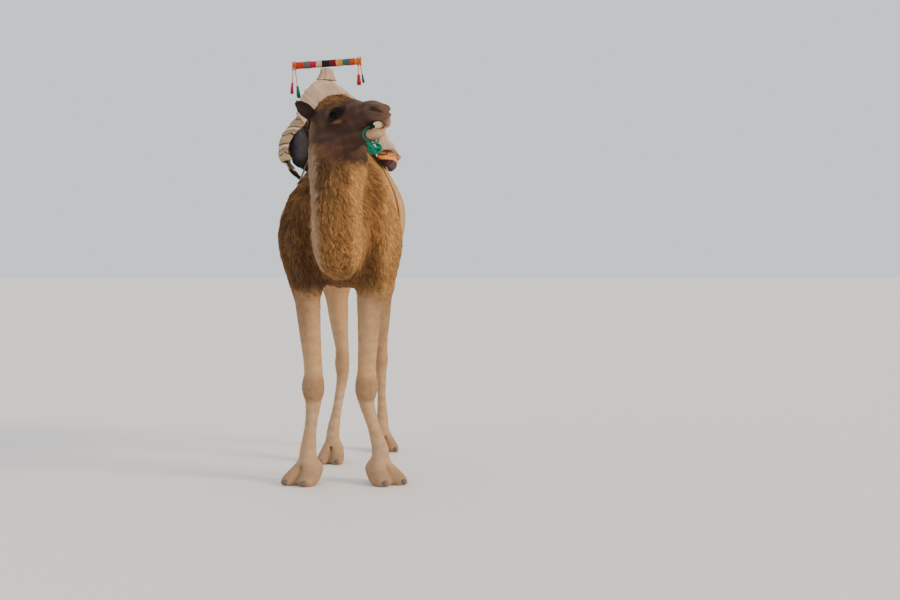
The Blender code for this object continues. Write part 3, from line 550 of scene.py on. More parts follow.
def hide_colour(points):
    """The colour of the coat: golden tan, paler legs, a dark face, pale lips, darker knees and feet."""
    colours = bpy.context.scene.camel_colours
    x, y, z = points.T
    q = placed_back(HEAD_BACK, points)
    hx, hy, hz = q.T
    head = on_head(points)
    mottle = wander(points, 0.24, 3)
    fine = wander(points, 0.07, 4)
    tone = np.tile(np.array(colours.flank), (len(points), 1))
    tone = mixed(tone, colours.wool, np.clip(on_wool(points) * (0.75 + 0.35 * fine), 0, 1))
    # a browner back and brown shaggy shoulders, more so on the right, with a golden flank between; the right
    # shoulder's extra brown is partly painted shade
    back = 0.22 * ramp(z, 1.6, 1.95) * (y > -0.2)
    tone = mixed(tone, colours.brown, np.clip(back + 0.1 * mottle, 0, 0.5))
    edge = y + 0.035 * mottle + 0.025 * fine
    shoulder_hair = ramp(edge, 0.5, 0.1) * ramp(y, -0.24, -0.1) * ramp(z, 0.98, 1.1)
    # brown shoulder hair on both sides, with an extra share on the right that is painted shade of the shaded
    # side
    side = 0.32 + 0.46 * ramp(x, 0.02, -0.1) - 0.26 * ramp(x, 0.15, 0.23)
    tone = mixed(tone, colours.brown, np.clip(shoulder_hair * (side + 0.16 * fine + 0.12 * mottle), 0, 0.9))
    # down the neck: dark under the throat, curly in the middle, a dust-grey band to its right, a golden one
    # left; the right band's grey and the extra brown low on the right are partly painted shade
    neck = ramp(y, -0.24, -0.34)
    # the throat's front dark brown; the extra brown low on the right side is painted shade of the shaded side
    throat = ramp(z, 1.42, 1.66) * ramp(x, 0.085, 0.045) + 0.55 * ramp(x, 0.02, -0.03) * ramp(z, 1.1, 1.25)
    tone = mixed(tone, colours.brown, np.clip(neck * (0.62 * throat + 0.2 * fine + 0.1 * mottle), 0, 0.85))
    sleek = on_sleek(points)
    # the same sleek hair on both sides: the right band's dust grey is partly painted shade, the left one
    # stays golden
    tone = mixed(tone, colours.dust_and_shade, 0.8 * sleek * (x < 0.008))
    tone = mixed(tone, colours.flank, 0.85 * sleek * (x >= 0.008))
    # a brown band low on the front of the chest, round the brisket's underside: painted shade under the chest
    tone = mixed(tone, colours.brown, 0.35 * ramp(z, 1.2, 1.12) * ramp(z, 1.02, 1.1) * ramp(y, 0.2, -0.1))
    belly = ramp(z, 1.22, 1.1) * ramp(y, 0.2, 0.5)
    tone = mixed(tone, colours.leg, 0.6 * belly)
    tone = mixed(tone, colours.leg, on_legs(points) * np.clip(0.92 + 0.2 * mottle, 0, 1))
    outer = ramp(np.abs(x), 0.13, 0.21) * ramp(z, 0.62, 0.95) + 0.4 * ramp(z, 0.84, 1.02)
    tone = mixed(tone, colours.brown, np.clip(0.5 * outer * on_legs(points) * (1 + 0.3 * fine), 0, 0.6))
    tone = mixed(tone, colours.dust_and_shade, 0.35 * ramp(z, 0.55, 0.3) * (1 + 0.4 * fine))
    knee = ramp(np.abs(z - KNEE + 0.01), 0.085, 0.045) * ramp(y, 0.11, 0.05) * (y < 0.3)
    tone = mixed(tone, colours.callus, 0.75 * np.clip(knee + 0.3 * fine * knee, 0, 1))
    hock = ramp(np.abs(z - HOCK), 0.1, 0.05) * (y > 0.5)
    tone = mixed(tone, colours.callus, 0.45 * hock * np.clip(1 + 0.5 * fine, 0, 1.5))
    foot = ramp(z, 0.15, 0.04)
    tone = mixed(tone, colours.callus, np.clip(foot * (0.55 + 0.25 * fine), 0, 1))
    tone = mixed(tone, colours.tail, on_tail(points) * ramp(z, 1.45, 1.2))
    # the head
    face = np.tile(np.array(colours.face), (len(points), 1))
    face = mixed(face, colours.wool, 0.25 * ramp(hy, -0.02, 0.05))
    side = ramp(hz, -0.1, -0.16) * ramp(hy, -0.24, -0.1)
    face = mixed(face, (0.23, 0.105, 0.05), np.clip(0.5 * side + 0.08 * fine, 0, 1))
    bridge = ramp(hz, 0.01, 0.045) * ramp(hy, -0.22, -0.3)
    face = mixed(face, colours.muzzle, np.clip(0.55 * bridge + 0.45 * ramp(hy, -0.33, -0.41), 0, 1))
    face = mixed(face, colours.wool, 0.62 * on_crown(points) * np.clip(0.9 + 0.3 * fine, 0, 1))
    # the brow's ridge a lighter brown: painted highlight where it catches the light
    brow = 0.5 * ramp(np.abs(hz - 0.024), 0.03, 0.012) * ramp(np.abs(hy + 0.165), 0.055, 0.03)
    face = mixed(face, colours.brown, brow)
    lips = ramp(hy, -0.335, -0.365) * ramp(hz, -0.088, -0.096)
    # the upper lip pale at its edge, much paler on the camel's left: that side's extra paleness is a painted
    # highlight of the lit side
    upper = ramp(hy, -0.4, -0.435) * ramp(hz, -0.035, -0.055) * (0.08 + 0.4 * ramp(hx, 0.0, 0.03))
    face = mixed(face, colours.lip, np.clip(0.8 * lips + 0.12 * fine * lips + upper, 0, 1))
    # near black inside the open mouth and along the lips' parting: painted shade
    inside = (ramp(np.abs(hz + 0.08), 0.022, 0.013) * ramp(hy, -0.32, -0.335)
        * ramp(np.hypot(hx / 0.04, (hy + 0.35) / 0.082), 1.02, 0.9))
    line = ramp(np.abs(hz + 0.083), 0.006, 0.0025) * ramp(hy, -0.285, -0.305) * ramp(hy, -0.35, -0.335)
    face = mixed(face, (0.02, 0.01, 0.008), np.maximum(inside, 0.85 * line))
    # near black round the eye, in an oval that rises towards the nose: dark lids and painted shade of the
    # brow and lashes
    off = beside(q, EYE)
    off[:, 2] += 0.4 * off[:, 1]
    around = np.linalg.norm(off / (1, 1.55, 0.85), axis=1)
    face = mixed(face, (0.009, 0.006, 0.005), ramp(around, 0.05, 0.034))
    below = np.linalg.norm(beside(q, (0.08, -0.19, -0.044)) / (1, 1.6, 0.6), axis=1)
    face = mixed(face, (0.2, 0.075, 0.035), 0.55 * ramp(below, 0.026, 0.01))
    # painted shade round the nostril and in the hollow cup of the ear
    nostril = np.linalg.norm(beside(q, (0.045, -0.418, -0.004)) / (1, 2.4, 0.8), axis=1)
    face = mixed(face, (0.045, 0.026, 0.018), 0.7 * ramp(nostril, 0.02, 0.008))
    rel = beside(q, EAR_ROOT)
    span = np.array(EAR_TIP) - EAR_ROOT
    reach = rel @ span / np.sum(span ** 2)
    cup = ramp(rel @ unit(np.array(EAR_FACES)), -0.007, -0.001)
    cup = cup * ramp(reach, 0.06, 0.22) * ramp(reach, 1.05, 0.95)
    face = mixed(face, (0.012, 0.008, 0.007), 0.94 * cup * (np.abs(hx) > 0.078))
    tone = tone + (face - tone) * head[:, None]
    return np.clip(tone * (1 + 0.07 * fine[:, None]), 0.004, 1)


# ---- meshes
def mesh_of(name, points, *groups):
    """A mesh object at the origin, of points round the camel's own reference point and arrays of faces."""
    mesh = bpy.data.meshes.new(name)
    mesh.vertices.add(len(points))
    mesh.vertices.foreach_set("co", (np.asarray(points) + ANCHOR).astype(np.float32).ravel())
    corners = np.concatenate([group.ravel() for group in groups])
    sizes = np.concatenate([np.full(len(group), group.shape[1]) for group in groups])
    mesh.loops.add(len(corners))
    mesh.loops.foreach_set("vertex_index", corners.astype(np.int32))
    mesh.polygons.add(len(sizes))
    mesh.polygons.foreach_set("loop_start", (np.cumsum(sizes) - sizes).astype(np.int32))
    mesh.update(calc_edges=True)
    mesh.validate()
    mesh.polygons.foreach_set("use_smooth", np.ones(len(mesh.polygons), bool))
    obj = bpy.data.objects.new(name, mesh)
    bpy.context.scene.collection.objects.link(obj)
    return obj


def toned(obj, colours):
    """Gives the points of a mesh their colours, rows of red, green and blue, in an attribute named tone."""
    attribute = obj.data.attributes.new("tone", "FLOAT_COLOR", "POINT")
    rows = np.ones((len(obj.data.vertices), 4), np.float32)
    rows[:, :3] = colours
    attribute.data.foreach_set("color", rows.ravel())


def mapped(obj, places, name):
    """Gives a mesh a UV map from one place for each of its points."""
    layer = obj.data.uv_layers.new(name=name)
    corners = np.empty(len(obj.data.loops), np.int32)
    obj.data.loops.foreach_get("vertex_index", corners)
    layer.data.foreach_set("uv", places[corners].astype(np.float32).ravel())


def dressed(obj, material, slot, *stood_for):
    """Gives a piece its material; it rides on the model and stands for its nodes. Its slot is not used."""
    obj.data.materials.clear()
    obj.data.materials.append(material)
    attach(obj, "root")
    if stood_for:
        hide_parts(*stood_for)
    return obj


def arrays(obj):
    """A mesh's points round the reference point, its points' normals, and its triangles."""
    mesh = obj.data
    mesh.calc_loop_triangles()
    flat = np.empty(len(mesh.vertices) * 3, np.float32)
    mesh.vertices.foreach_get("co", flat)
    points = flat.reshape(-1, 3).astype(float) - ANCHOR
    mesh.vertices.foreach_get("normal", flat)
    normals = flat.reshape(-1, 3).astype(float)
    triangles = np.empty(len(mesh.loop_triangles) * 3, np.int32)
    mesh.loop_triangles.foreach_get("vertices", triangles)
    return points, normals, triangles.reshape(-1, 3)


def drawn_in(points, faces, depth):
    """Moves each point of a surface inwards by its depth, against the mean normal of its faces."""
    one, two = points[faces[:, 2]] - points[faces[:, 0]], points[faces[:, 3]] - points[faces[:, 1]]
    normals = np.cross(one, two)
    total = np.stack([np.bincount(faces.ravel(), np.repeat(normals[:, k], 4), len(points))
        for k in range(3)], axis=1)
    return points - unit(total + 1e-12) * depth(points)[:, None]


def grid_faces(rows, columns, around=False, along=False):
    """Four-sided faces over a grid of points; around closes the columns on themselves, along the rows."""
    index = np.arange(rows * columns).reshape(rows, columns)
    if around:
        index = np.column_stack([index, index[:, :1]])
    if along:
        index = np.vstack([index, index[:1]])
    return np.stack([index[:-1, :-1], index[1:, :-1], index[1:, 1:], index[:-1, 1:]], axis=-1).reshape(-1, 4)


def tube(path, radius, sides=12, closed=False, section=None):
    """A surface carried along a path: rings of points at the radius (one, or one for each place and side).

    Each ring is square to the path, and its first side turns as little as it can from one to the next.
    Returns points and faces.
    """
    path = np.asarray(path, float)
    if closed:
        ways = unit(np.roll(path, -1, axis=0) - np.roll(path, 1, axis=0))
    else:
        ways = unit(np.gradient(path, axis=0))
    aside = np.zeros_like(path)
    aside[0] = unit(np.cross(ways[0], np.eye(3)[np.argmin(np.abs(ways[0]))]))
    for k in range(1, len(path)):
        turned_on = aside[k - 1] - ways[k] * (aside[k - 1] @ ways[k])
        aside[k] = unit(turned_on)
    if closed:
        # the twist left over after one turn is shared out along the path
        last = unit(aside[-1] - ways[0] * (aside[-1] @ ways[0]))
        left = math.atan2(np.cross(last, aside[0]) @ ways[0], last @ aside[0])
        share = left * np.arange(len(path)) / len(path)
        aside = aside * np.cos(share)[:, None] + np.cross(ways, aside) * np.sin(share)[:, None]
    other = np.cross(ways, aside)
    angle = 2 * math.pi * np.arange(sides) / sides
    reach = np.broadcast_to(np.asarray(radius, float).reshape(len(path), -1) if np.ndim(radius) else radius,
        (len(path), sides))
    rings = (path[:, None] + reach[..., None]
        * (np.cos(angle)[None, :, None] * aside[:, None] + np.sin(angle)[None, :, None] * other[:, None]))
    return rings.reshape(-1, 3), grid_faces(len(path), sides, around=True, along=closed)[:, ::-1]


def capped(points, faces, rings, sides):
    """Closes the two ends of a tube with a point each."""
    ends = np.array([points[:sides].mean(axis=0), points[-sides:].mean(axis=0)])
    first = np.arange(sides)
    last = first + (rings - 1) * sides
    start = np.stack([first, np.roll(first, -1), np.full(sides, len(points))], axis=1)
    stop = np.stack([np.roll(last, -1), last, np.full(sides, len(points) + 1)], axis=1)
    return np.vstack([points, ends]), faces, np.vstack([start, stop])


def way_along(path):
    """How far along a path each of its points is."""
    return np.concatenate([[0], np.cumsum(np.linalg.norm(np.diff(path, axis=0), axis=1))])


def tube_places(along, sides, *ends):
    """Each of a tube's points as (share of the way round, way along), then those of its end points."""
    round_it = np.tile(np.arange(sides) / sides, len(along))
    places = np.stack([round_it, np.repeat(along, sides)], axis=1)
    return np.vstack([places, *([(0, end)] for end in ends)])


def smooth_path(stations, count):
    """So many points, evenly spaced, on the Catmull-Rom curve through the stations."""
    fine = in_between(stations, 24)
    far = way_along(fine[:, :3])
    at = np.linspace(0, far[-1], count)
    return np.stack([np.interp(at, far, column) for column in fine.T], axis=1)


# ---- materials
class Paint:
    """A shader socket that sums and products can be written with; each one adds the nodes that it needs."""

    def __init__(self, tree, socket=None):
        self.tree, self.socket = tree, socket

    def node(self, kind, settings=None, output=0, **inputs):
        """Adds a node of a type: its settings first, then its sockets' values or links, by name or number."""
        node = self.tree.nodes.new("ShaderNode" + kind)
        for name, value in (settings or {}).items():
            if name == "stops":
                ramp_of = node.color_ramp
                while len(ramp_of.elements) < len(value):
                    ramp_of.elements.new(0.5)
                for element, (place, colour) in zip(ramp_of.elements, value):
                    element.position = place
                    element.color = (*colour, 1)
            else:
                setattr(node, name, value)
        for name, value in inputs.items():
            socket = node.inputs[int(name[1:]) if name[1:].isdigit() else name.replace("_", " ")]
            if isinstance(value, Paint):
                self.tree.links.new(value.socket, socket)
            else:
                socket.default_value = value
        return Paint(self.tree, node.outputs[output])

    def maths(self, operation, *values):
        return self.node("Math", {"operation": operation}, **{f"i{k}": v for k, v in enumerate(values)})

    def mix(self, first, second):
        """A colour between two, by this value."""
        one, two = (value if isinstance(value, Paint) else (*value, 1) for value in (first, second))
        return self.node("Mix", {"data_type": "RGBA"}, output=2, i0=self, i6=one, i7=two)

    def above(self, edge, soft=0.02):
        """0 below the edge and 1 above it, with a soft step."""
        return self.node("MapRange", {"interpolation_type": "SMOOTHSTEP"},
            Value=self, From_Min=edge - soft, From_Max=edge + soft)

    def __add__(self, other):
        return self.maths("ADD", self, other)

    def __sub__(self, other):
        return self.maths("SUBTRACT", self, other)

    def __mul__(self, other):
        return self.maths("MULTIPLY", self, other)

    def __truediv__(self, other):
        return self.maths("DIVIDE", self, other)

    def __radd__(self, other):
        return self.maths("ADD", other, self)

    def __rsub__(self, other):
        return self.maths("SUBTRACT", other, self)


class Finish:
    """A new material with its shader; colour, roughness and bump are given at the end."""

    def __init__(self, name):
        self.material = bpy.data.materials.new(name)
        self.material.use_nodes = True
        tree = self.material.node_tree
        self.shader = tree.nodes["Principled BSDF"]
        self.tree = tree
        self.paint = Paint(tree)

    def noise(self, size, detail=3.0, vector=None, rough=0.55):
        """Noise from 0 to 1 whose swells are about so many metres across."""
        place = vector or self.paint.node("TexCoord", output=3)
        return self.paint.node("TexNoise", Vector=place, Scale=1 / size, Detail=detail, Roughness=rough)

    def attribute(self, name):
        return self.paint.node("Attribute", {"attribute_name": name})

    def place(self, name="weave"):
        """The two numbers of a piece's own map, in metres."""
        parts = self.paint.node("UVMap", {"uv_map": name})
        return tuple(self.paint.node("SeparateXYZ", output=k, Vector=parts) for k in (0, 1))

    def made(self, colour, roughness=0.9, height=None, deep=0.001, strength=1.0, **constants):
        """The material, once its colour, its bump of a depth in metres and other values are given."""
        links = self.tree.links
        for name, value in (("Base Color", colour), ("Roughness", roughness)):
            if isinstance(value, Paint):
                links.new(value.socket, self.shader.inputs[name])
            else:
                self.shader.inputs[name].default_value = (*value, 1) if name == "Base Color" else value
        if height is not None:
            bump = self.paint.node("Bump", Height=height, Distance=deep, Strength=strength)
            links.new(bump.socket, self.shader.inputs["Normal"])
        for name, value in constants.items():
            self.shader.inputs[name.replace("_", " ")].default_value = value
        return self.material


def shaded(paint, colour, share):
    """A colour made darker or lighter by a value about 1."""
    return paint.node("VectorMath", {"operation": "SCALE"}, i0=colour, Scale=share)


def hide_finish():
    """Skin under short hair: the coat's own colour, fine streaks of hair and soft folds."""
    f = Finish("hide")
    along = f.paint.node("VectorMath", {"operation": "MULTIPLY"}, i0=f.paint.node("TexCoord", output=3),
        i1=(1.0, 0.38, 0.38))
    hairs, folds = f.noise(0.0022, 2.0, along), f.noise(0.02, 3.0)
    # the folds' hollows are painted darker, painted shade, beside the hair's own streaks
    colour = shaded(f.paint, f.attribute("tone"), 0.5 + hairs * 0.76 + folds * 0.24)
    return f.made(colour, 0.85, hairs * 0.9 + folds, 0.002, 0.8, Specular_IOR_Level=0.2)


def coat_finish():
    """Tufts of hair: each one's own colour, with painted shade at the root and a painted highlight along the
    ridge, with fine strands.
    """
    f = Finish("coat")
    strands = f.noise(0.0016, 2.0)
    colour = shaded(f.paint, f.attribute("tone"), 0.8 + strands * 0.42)
    return f.made(colour, 0.8, strands, 0.0008, 0.6, Specular_IOR_Level=0.15, Sheen_Weight=0.08,
        Sheen_Roughness=0.5, Sheen_Tint=(1.0, 0.86, 0.66, 1))


def woven(f, u, v, pitch):
    """Threads that cross over and under each other: two waves, one each way."""
    over = f.paint.maths("SINE", u * (2 * math.pi / pitch)) * f.paint.maths("SINE", v * (2 * math.pi / pitch))
    return over * 0.5 + 0.5


def cloth_finish(name, colour, pitch=0.004, wear=0.25, pattern=None, roughness=0.92):
    """Woven cloth on a map in metres; pattern, given the finish and map, paints over the ground colour."""
    f = Finish(name)
    u, v = f.place()
    threads, spots = woven(f, u, v, pitch) if pitch else f.noise(0.004, 2.0), f.noise(0.09, 4.0)
    ground = spots.above(0.5, 0.25).mix(tuple(c * (1 - wear) for c in colour), colour)
    if pattern:
        ground = pattern(f, u, v, ground)
    fuzz = f.noise(0.0022, 2.0)
    # darker where the threads dip: painted shade in the weave's hollows
    ground = shaded(f.paint, ground, 0.74 + threads * 0.22 + fuzz * 0.24)
    return f.made(ground, roughness, threads + fuzz * 0.6, 0.0012, 0.8, Specular_IOR_Level=0.2,
        Sheen_Weight=0.06, Sheen_Roughness=0.5)


def zigzags(f, u, v, ground):
    """Bands across the blanket of dark zigzag lines with white dots between, and plain dark lines."""
    period = 0.115
    along = f.paint.maths("FRACT", u / period)
    wave = f.paint.maths("PINGPONG", v, 0.022) * (1 / 0.022)
    line = 1 - f.paint.maths("ABSOLUTE", along - 0.3 - wave * 0.16).above(0.035, 0.012)
    second = 1 - f.paint.maths("ABSOLUTE", along - 0.52 - wave * 0.1).above(0.022, 0.01)
    plain = 1 - f.paint.maths("ABSOLUTE", along - 0.86).above(0.03, 0.01)
    white = 1 - f.paint.maths("ABSOLUTE", along - 0.7 - wave * 0.06).above(0.03, 0.012)
    broken = f.noise(0.018, 2.0).above(0.42, 0.06)
    ground = (white * 0.8).mix(ground, (0.78, 0.74, 0.68))
    ground = (line * broken).mix(ground, (0.035, 0.03, 0.032))
    ground = (second * broken).mix(ground, (0.2, 0.085, 0.045))
    return plain.mix(ground, (0.045, 0.038, 0.036))


def cream_bands(f, u, v, ground):
    """Faint pale and rosy stripes that run along the blanket."""
    rosy = f.paint.maths("SINE", u * (2 * math.pi / 0.16)).above(0.4, 0.35)
    thin = 1 - f.paint.maths("ABSOLUTE", f.paint.maths("FRACT", u / 0.08) - 0.5).above(0.05, 0.02)
    return (thin * 0.4).mix((rosy * 0.45).mix(ground, (0.62, 0.4, 0.3)), (0.74, 0.64, 0.52))


def strap_edges(f, u, v, ground):
    """A dark line along each edge of the strap, on a map whose first number runs across it."""
    middle = f.paint.maths("ABSOLUTE", u - 0.026)
    line = middle.above(0.0175, 0.0012) * (1 - middle.above(0.0225, 0.0012))
    return line.mix(ground, (0.05, 0.035, 0.025))


def wound_strips(stops):
    """Cloth strips wound side by side along a bar: bands of colour on the first number of its map."""
    f = Finish("handle strips")
    u, v = f.place()
    band = f.paint.node("ValToRGB", {"stops": stops}, Fac=u + f.noise(0.01, 1.0) * 0.012 - 0.006)
    band.socket.node.color_ramp.interpolation = "CONSTANT"
    turns = f.paint.maths("SINE", u * (2 * math.pi * 46) + v * 2 * math.pi) * 0.5 + 0.5
    fuzz = f.noise(0.002, 2.0)
    # darker in the grooves between the turns: painted shade
    colour = shaded(f.paint, band, 0.62 + turns * 0.28 + fuzz * 0.35)
    return f.made(colour, 0.9, turns + fuzz * 0.5, 0.0016, 0.9, Specular_IOR_Level=0.2)


def twisted_finish(name, colour, pitch):
    """A cord laid up from strands: slanting ridges on a map of (round, along in metres)."""
    f = Finish(name)
    u, v = f.place()
    lay = f.paint.maths("SINE", (u * 3 + v / pitch) * (2 * math.pi)) * 0.5 + 0.5
    fuzz = f.noise(0.0012, 2.0)
    # darker in the grooves between the strands: painted shade
    tinted = shaded(f.paint, (*colour,), 0.5 + lay * 0.45 + fuzz * 0.3)
    return f.made(tinted, 0.85, lay + fuzz * 0.3, 0.0015, 0.9, Specular_IOR_Level=0.2)


def plain_finish(name, colour, size, roughness, deep=0.0006, spread=0.3, **constants):
    """A hard or woolly surface with speckle and a fine grain."""
    f = Finish(name)
    grain, spots = f.noise(size, 3.0), f.noise(size * 9, 3.0)
    tinted = shaded(f.paint, (*colour,), 1 - spread + grain * spread + spots * spread)
    return f.made(tinted, roughness, grain, deep, 0.7, **constants)


def eye_finish():
    """A dark brown eye: a level oval pupil in a brown iris, a dark rim, under a wet clear layer."""
    f = Finish("eye")
    u, v = f.place()
    reach = f.paint.maths("SQRT", u * u + v * v)
    pupil = f.paint.maths("SQRT", u * u * 0.35 + v * v * 2.2).above(0.2, 0.05)
    iris = pupil.mix((0.002, 0.0015, 0.0015), (0.008, 0.004, 0.002))
    colour = reach.above(0.58, 0.1).mix(iris, (0.006, 0.004, 0.003))
    return f.made(colour, 0.12, Coat_Weight=0.08, Coat_Roughness=0.03, IOR=1.36, Specular_IOR_Level=0.03)


# ---- the skin
def ear_masses(side):
    """A cupped leaf that stands out, back and up from the side of the head, open forwards."""
    root, tip, faces = (Vector((side * at[0], at[1], at[2])) for at in (EAR_ROOT, EAR_TIP, EAR_FACES))
    way = tip - root
    aside = tuple(faces.cross(way).normalized())
    leaf = [(*(root + way * t), wide, 0.016 - 0.007 * t)
            for t, wide in ((0, 0.022), (0.25, 0.032), (0.55, 0.036), (0.82, 0.027), (1, 0.013))]
    cup = [(*(root + way * t + faces * 0.012), wide, 0.012)
           for t, wide in ((0.22, 0.018), (0.4, 0.025), (0.62, 0.026), (0.84, 0.017))]
    return [Mass(leaf, HEAD, blend=0.012, aside=aside),
            Mass(cup, HEAD, blend=0.004, aside=aside, carves=True)]


def face_details(side):
    """Lids, brow and the folds of one side of the face: ridges are added and creases are carved."""
    ex, ey, ez = EYE

    # the rows are those of the left side, and mirrored for the right one
    def rim(peak, reach=72, out=EYE_RADIUS + 0.0015, shift=0.0):
        """Stations along a lid: an arc over the eyeball whose height is greatest in the middle."""
        rows = []
        for k in range(7):
            around = math.radians(-reach + 2 * reach * k / 6)
            up = math.radians(peak) * math.cos(around * 90 / reach) + shift * math.sin(around)
            rows.append((ex + out * math.cos(up) * math.cos(around),
                ey + out * math.cos(up) * math.sin(around) * 1.08, ez + out * math.sin(up)))
        return rows

    ridges = [
        ([(*p, 0.0036, 0.0036) for p in rim(40, shift=-0.1)], 0.006),
        ([(*p, 0.0032, 0.0032) for p in rim(-34, shift=-0.1)], 0.006),
        # the brow's overhang, the bone under the eye and the cheek's edge
        ([(0.078, -0.215, 0.02, 0.008, 0.006), (0.092, -0.18, 0.034, 0.01, 0.008),
          (0.094, -0.14, 0.03, 0.009, 0.008)], 0.018),
        ([(0.076, -0.215, -0.042, 0.008, 0.007), (0.084, -0.16, -0.044, 0.009, 0.008),
          (0.082, -0.1, -0.034, 0.009, 0.01)], 0.02),
        # the rims round the nostril
        ([(0.026, -0.448, -0.014, 0.004, 0.004), (0.038, -0.43, 0.006, 0.006, 0.006),
          (0.046, -0.398, 0.019, 0.006, 0.006)], 0.01),
        ([(0.03, -0.454, -0.034, 0.005, 0.005), (0.046, -0.424, -0.024, 0.007, 0.006),
          (0.052, -0.388, -0.014, 0.006, 0.006)], 0.012),
    ]
    creases = [
        # the nostril's slit, deep in front and closing behind
        ([(0.024, -0.46, -0.028, 0.004, 0.0035), (0.038, -0.44, -0.018, 0.01, 0.0065),
          (0.049, -0.41, -0.004, 0.011, 0.0075), (0.053, -0.38, 0.005, 0.005, 0.004)], 0.004),
        # the fold over the lip, from under the nostril to the mouth's corner
        ([(0.038, -0.446, -0.046, 0.0022, 0.005), (0.05, -0.41, -0.048, 0.0028, 0.006),
          (0.055, -0.365, -0.056, 0.0026, 0.006), (0.053, -0.325, -0.07, 0.0018, 0.005)], 0.008),
        # two folds under the eye and one before it
        ([(0.086, -0.205, -0.024, 0.0018, 0.003), (0.094, -0.175, -0.034, 0.0022, 0.004),
          (0.092, -0.14, -0.03, 0.0016, 0.003)], 0.006),
        ([(0.08, -0.228, -0.03, 0.0016, 0.003), (0.087, -0.2, -0.046, 0.002, 0.004),
          (0.087, -0.16, -0.054, 0.0014, 0.003)], 0.007),
        ([(0.074, -0.24, 0.01, 0.0016, 0.003), (0.078, -0.222, 0.002, 0.002, 0.004),
          (0.082, -0.205, -0.004, 0.0014, 0.003)], 0.006),
        # the mouth's corner, drawn back, and the line of the cheek's muscle
        ([(0.054, -0.335, -0.082, 0.002, 0.004), (0.058, -0.3, -0.086, 0.002, 0.004),
          (0.062, -0.27, -0.08, 0.0014, 0.003)], 0.008),
        ([(0.066, -0.215, -0.1, 0.0025, 0.005), (0.07, -0.165, -0.16, 0.0025, 0.005)], 0.02),
    ]
    # the opening between the lids
    slit = ball((side * (ex + 0.034), ey, ez), (0.026, 0.0275, 0.0165), HEAD, blend=0.004, carves=True)
    made = [Mass(mirrored(rows, side), HEAD, blend=blend, cap=1) for rows, blend in ridges]
    made.append(ball((side * ex, ey, ez), (EYE_RADIUS + 0.0008,) * 3, HEAD, blend=0.002, carves=True))
    made += [Mass(mirrored(rows, side), HEAD, blend=blend, cap=1, carves=True, steps=3)
             for rows, blend in creases]
    return made + [slit]


def limb_details():
    """Bones, tendons and folds that show under the short hair of the legs."""
    made = []
    for name, leg in LEGS.items():
        _, (mx, my), (fx, fy) = leg["joints"]
        joint = KNEE if name.startswith("front") else HOCK
        # the sinew behind the cannon bone
        back = 0.03 if name.startswith("front") else 0.028
        made.append(Mass([(mx, my + back, joint - 0.08, 0.011, 0.013),
                          (0.5 * (mx + fx), 0.5 * (my + fy) + back + 0.005, 0.31, 0.01, 0.012),
                          (fx, fy + back + 0.008, FETLOCK + 0.06, 0.015, 0.015)], blend=0.02))
        if name.startswith("front"):
            # the pad on the front of the knee
            made.append(ball((mx, my - 0.052, KNEE - 0.005), (0.036, 0.016, 0.05), blend=0.012))
        else:
            # the hock's point
            made.append(ball((mx, my + 0.045, HOCK + 0.02), (0.018, 0.018, 0.034), blend=0.03))
        # the fold between the toes
        heading = leg["heading"]
        ahead = Vector((math.sin(heading), -math.cos(heading)))
        length = TOE_SIZE[name.split("_")[0]][0]
        rows = []
        for reach, up, deep in (
                (0.25, 0.115, 0.006), (0.5, 0.086, 0.012), (0.85, 0.052, 0.02), (1.15, 0.02, 0.03)):
            at = Vector((fx, fy)) + ahead * length * reach
            rows.append((at.x, at.y, up, 0.0035, deep))
        made.append(Mass(rows, blend=0.014, carves=True, aside=(math.cos(heading), math.sin(heading), 0)))
    return made


def mouth_details():
    """The tongue and gums, and the upper lip's left half, which hangs over the front teeth."""
    tongue = [(0, -0.255, -0.086, 0.02, 0.012), (0, -0.3, -0.084, 0.02, 0.011),
        (0, -0.345, -0.084, 0.024, 0.015), (0, -0.385, -0.09, 0.022, 0.012)]
    gum = [(-0.028, -0.396, -0.102, 0.009, 0.011), (0, -0.406, -0.098, 0.01, 0.012),
           (0.028, -0.396, -0.102, 0.009, 0.011)]
    lobe = [(0.018, -0.418, -0.038, 0.028, 0.024), (0.024, -0.432, -0.062, 0.024, 0.019),
            (0.026, -0.436, -0.083, 0.017, 0.013)]
    return [Mass(tongue, HEAD, blend=0.01), Mass(gum, HEAD, blend=0.01, aside=(0, 1, 0)),
            Mass(lobe, HEAD, blend=0.024)]


def trimmed(points, faces, height, keep_above):
    """Cuts a surface at a height and keeps the part above it or below."""
    bm = bmesh.new()
    verts = [bm.verts.new(p) for p in points]
    for face in faces:
        bm.faces.new([verts[i] for i in face])
    cut_at(bm, [*bm.verts, *bm.edges, *bm.faces], height, keep_above)
    return bm


def cut_at(bm, geom, height, keep_above):
    bmesh.ops.bisect_plane(bm, geom=geom, plane_co=(0, 0, height), plane_no=(0, 0, 1), dist=1e-6,
        clear_outer=not keep_above, clear_inner=keep_above)


def edge_loops(edges):
    """Groups edges that share points, in the same order every time."""
    left, loops = dict.fromkeys(edges), []
    while left:
        todo, loop = [left.popitem()[0]], []
        while todo:
            edge = todo.pop()
            loop.append(edge)
            for vert in edge.verts:
                for other in vert.link_edges:
                    if other in left:
                        del left[other]
                        todo.append(other)
        loops.append(loop)
    return loops


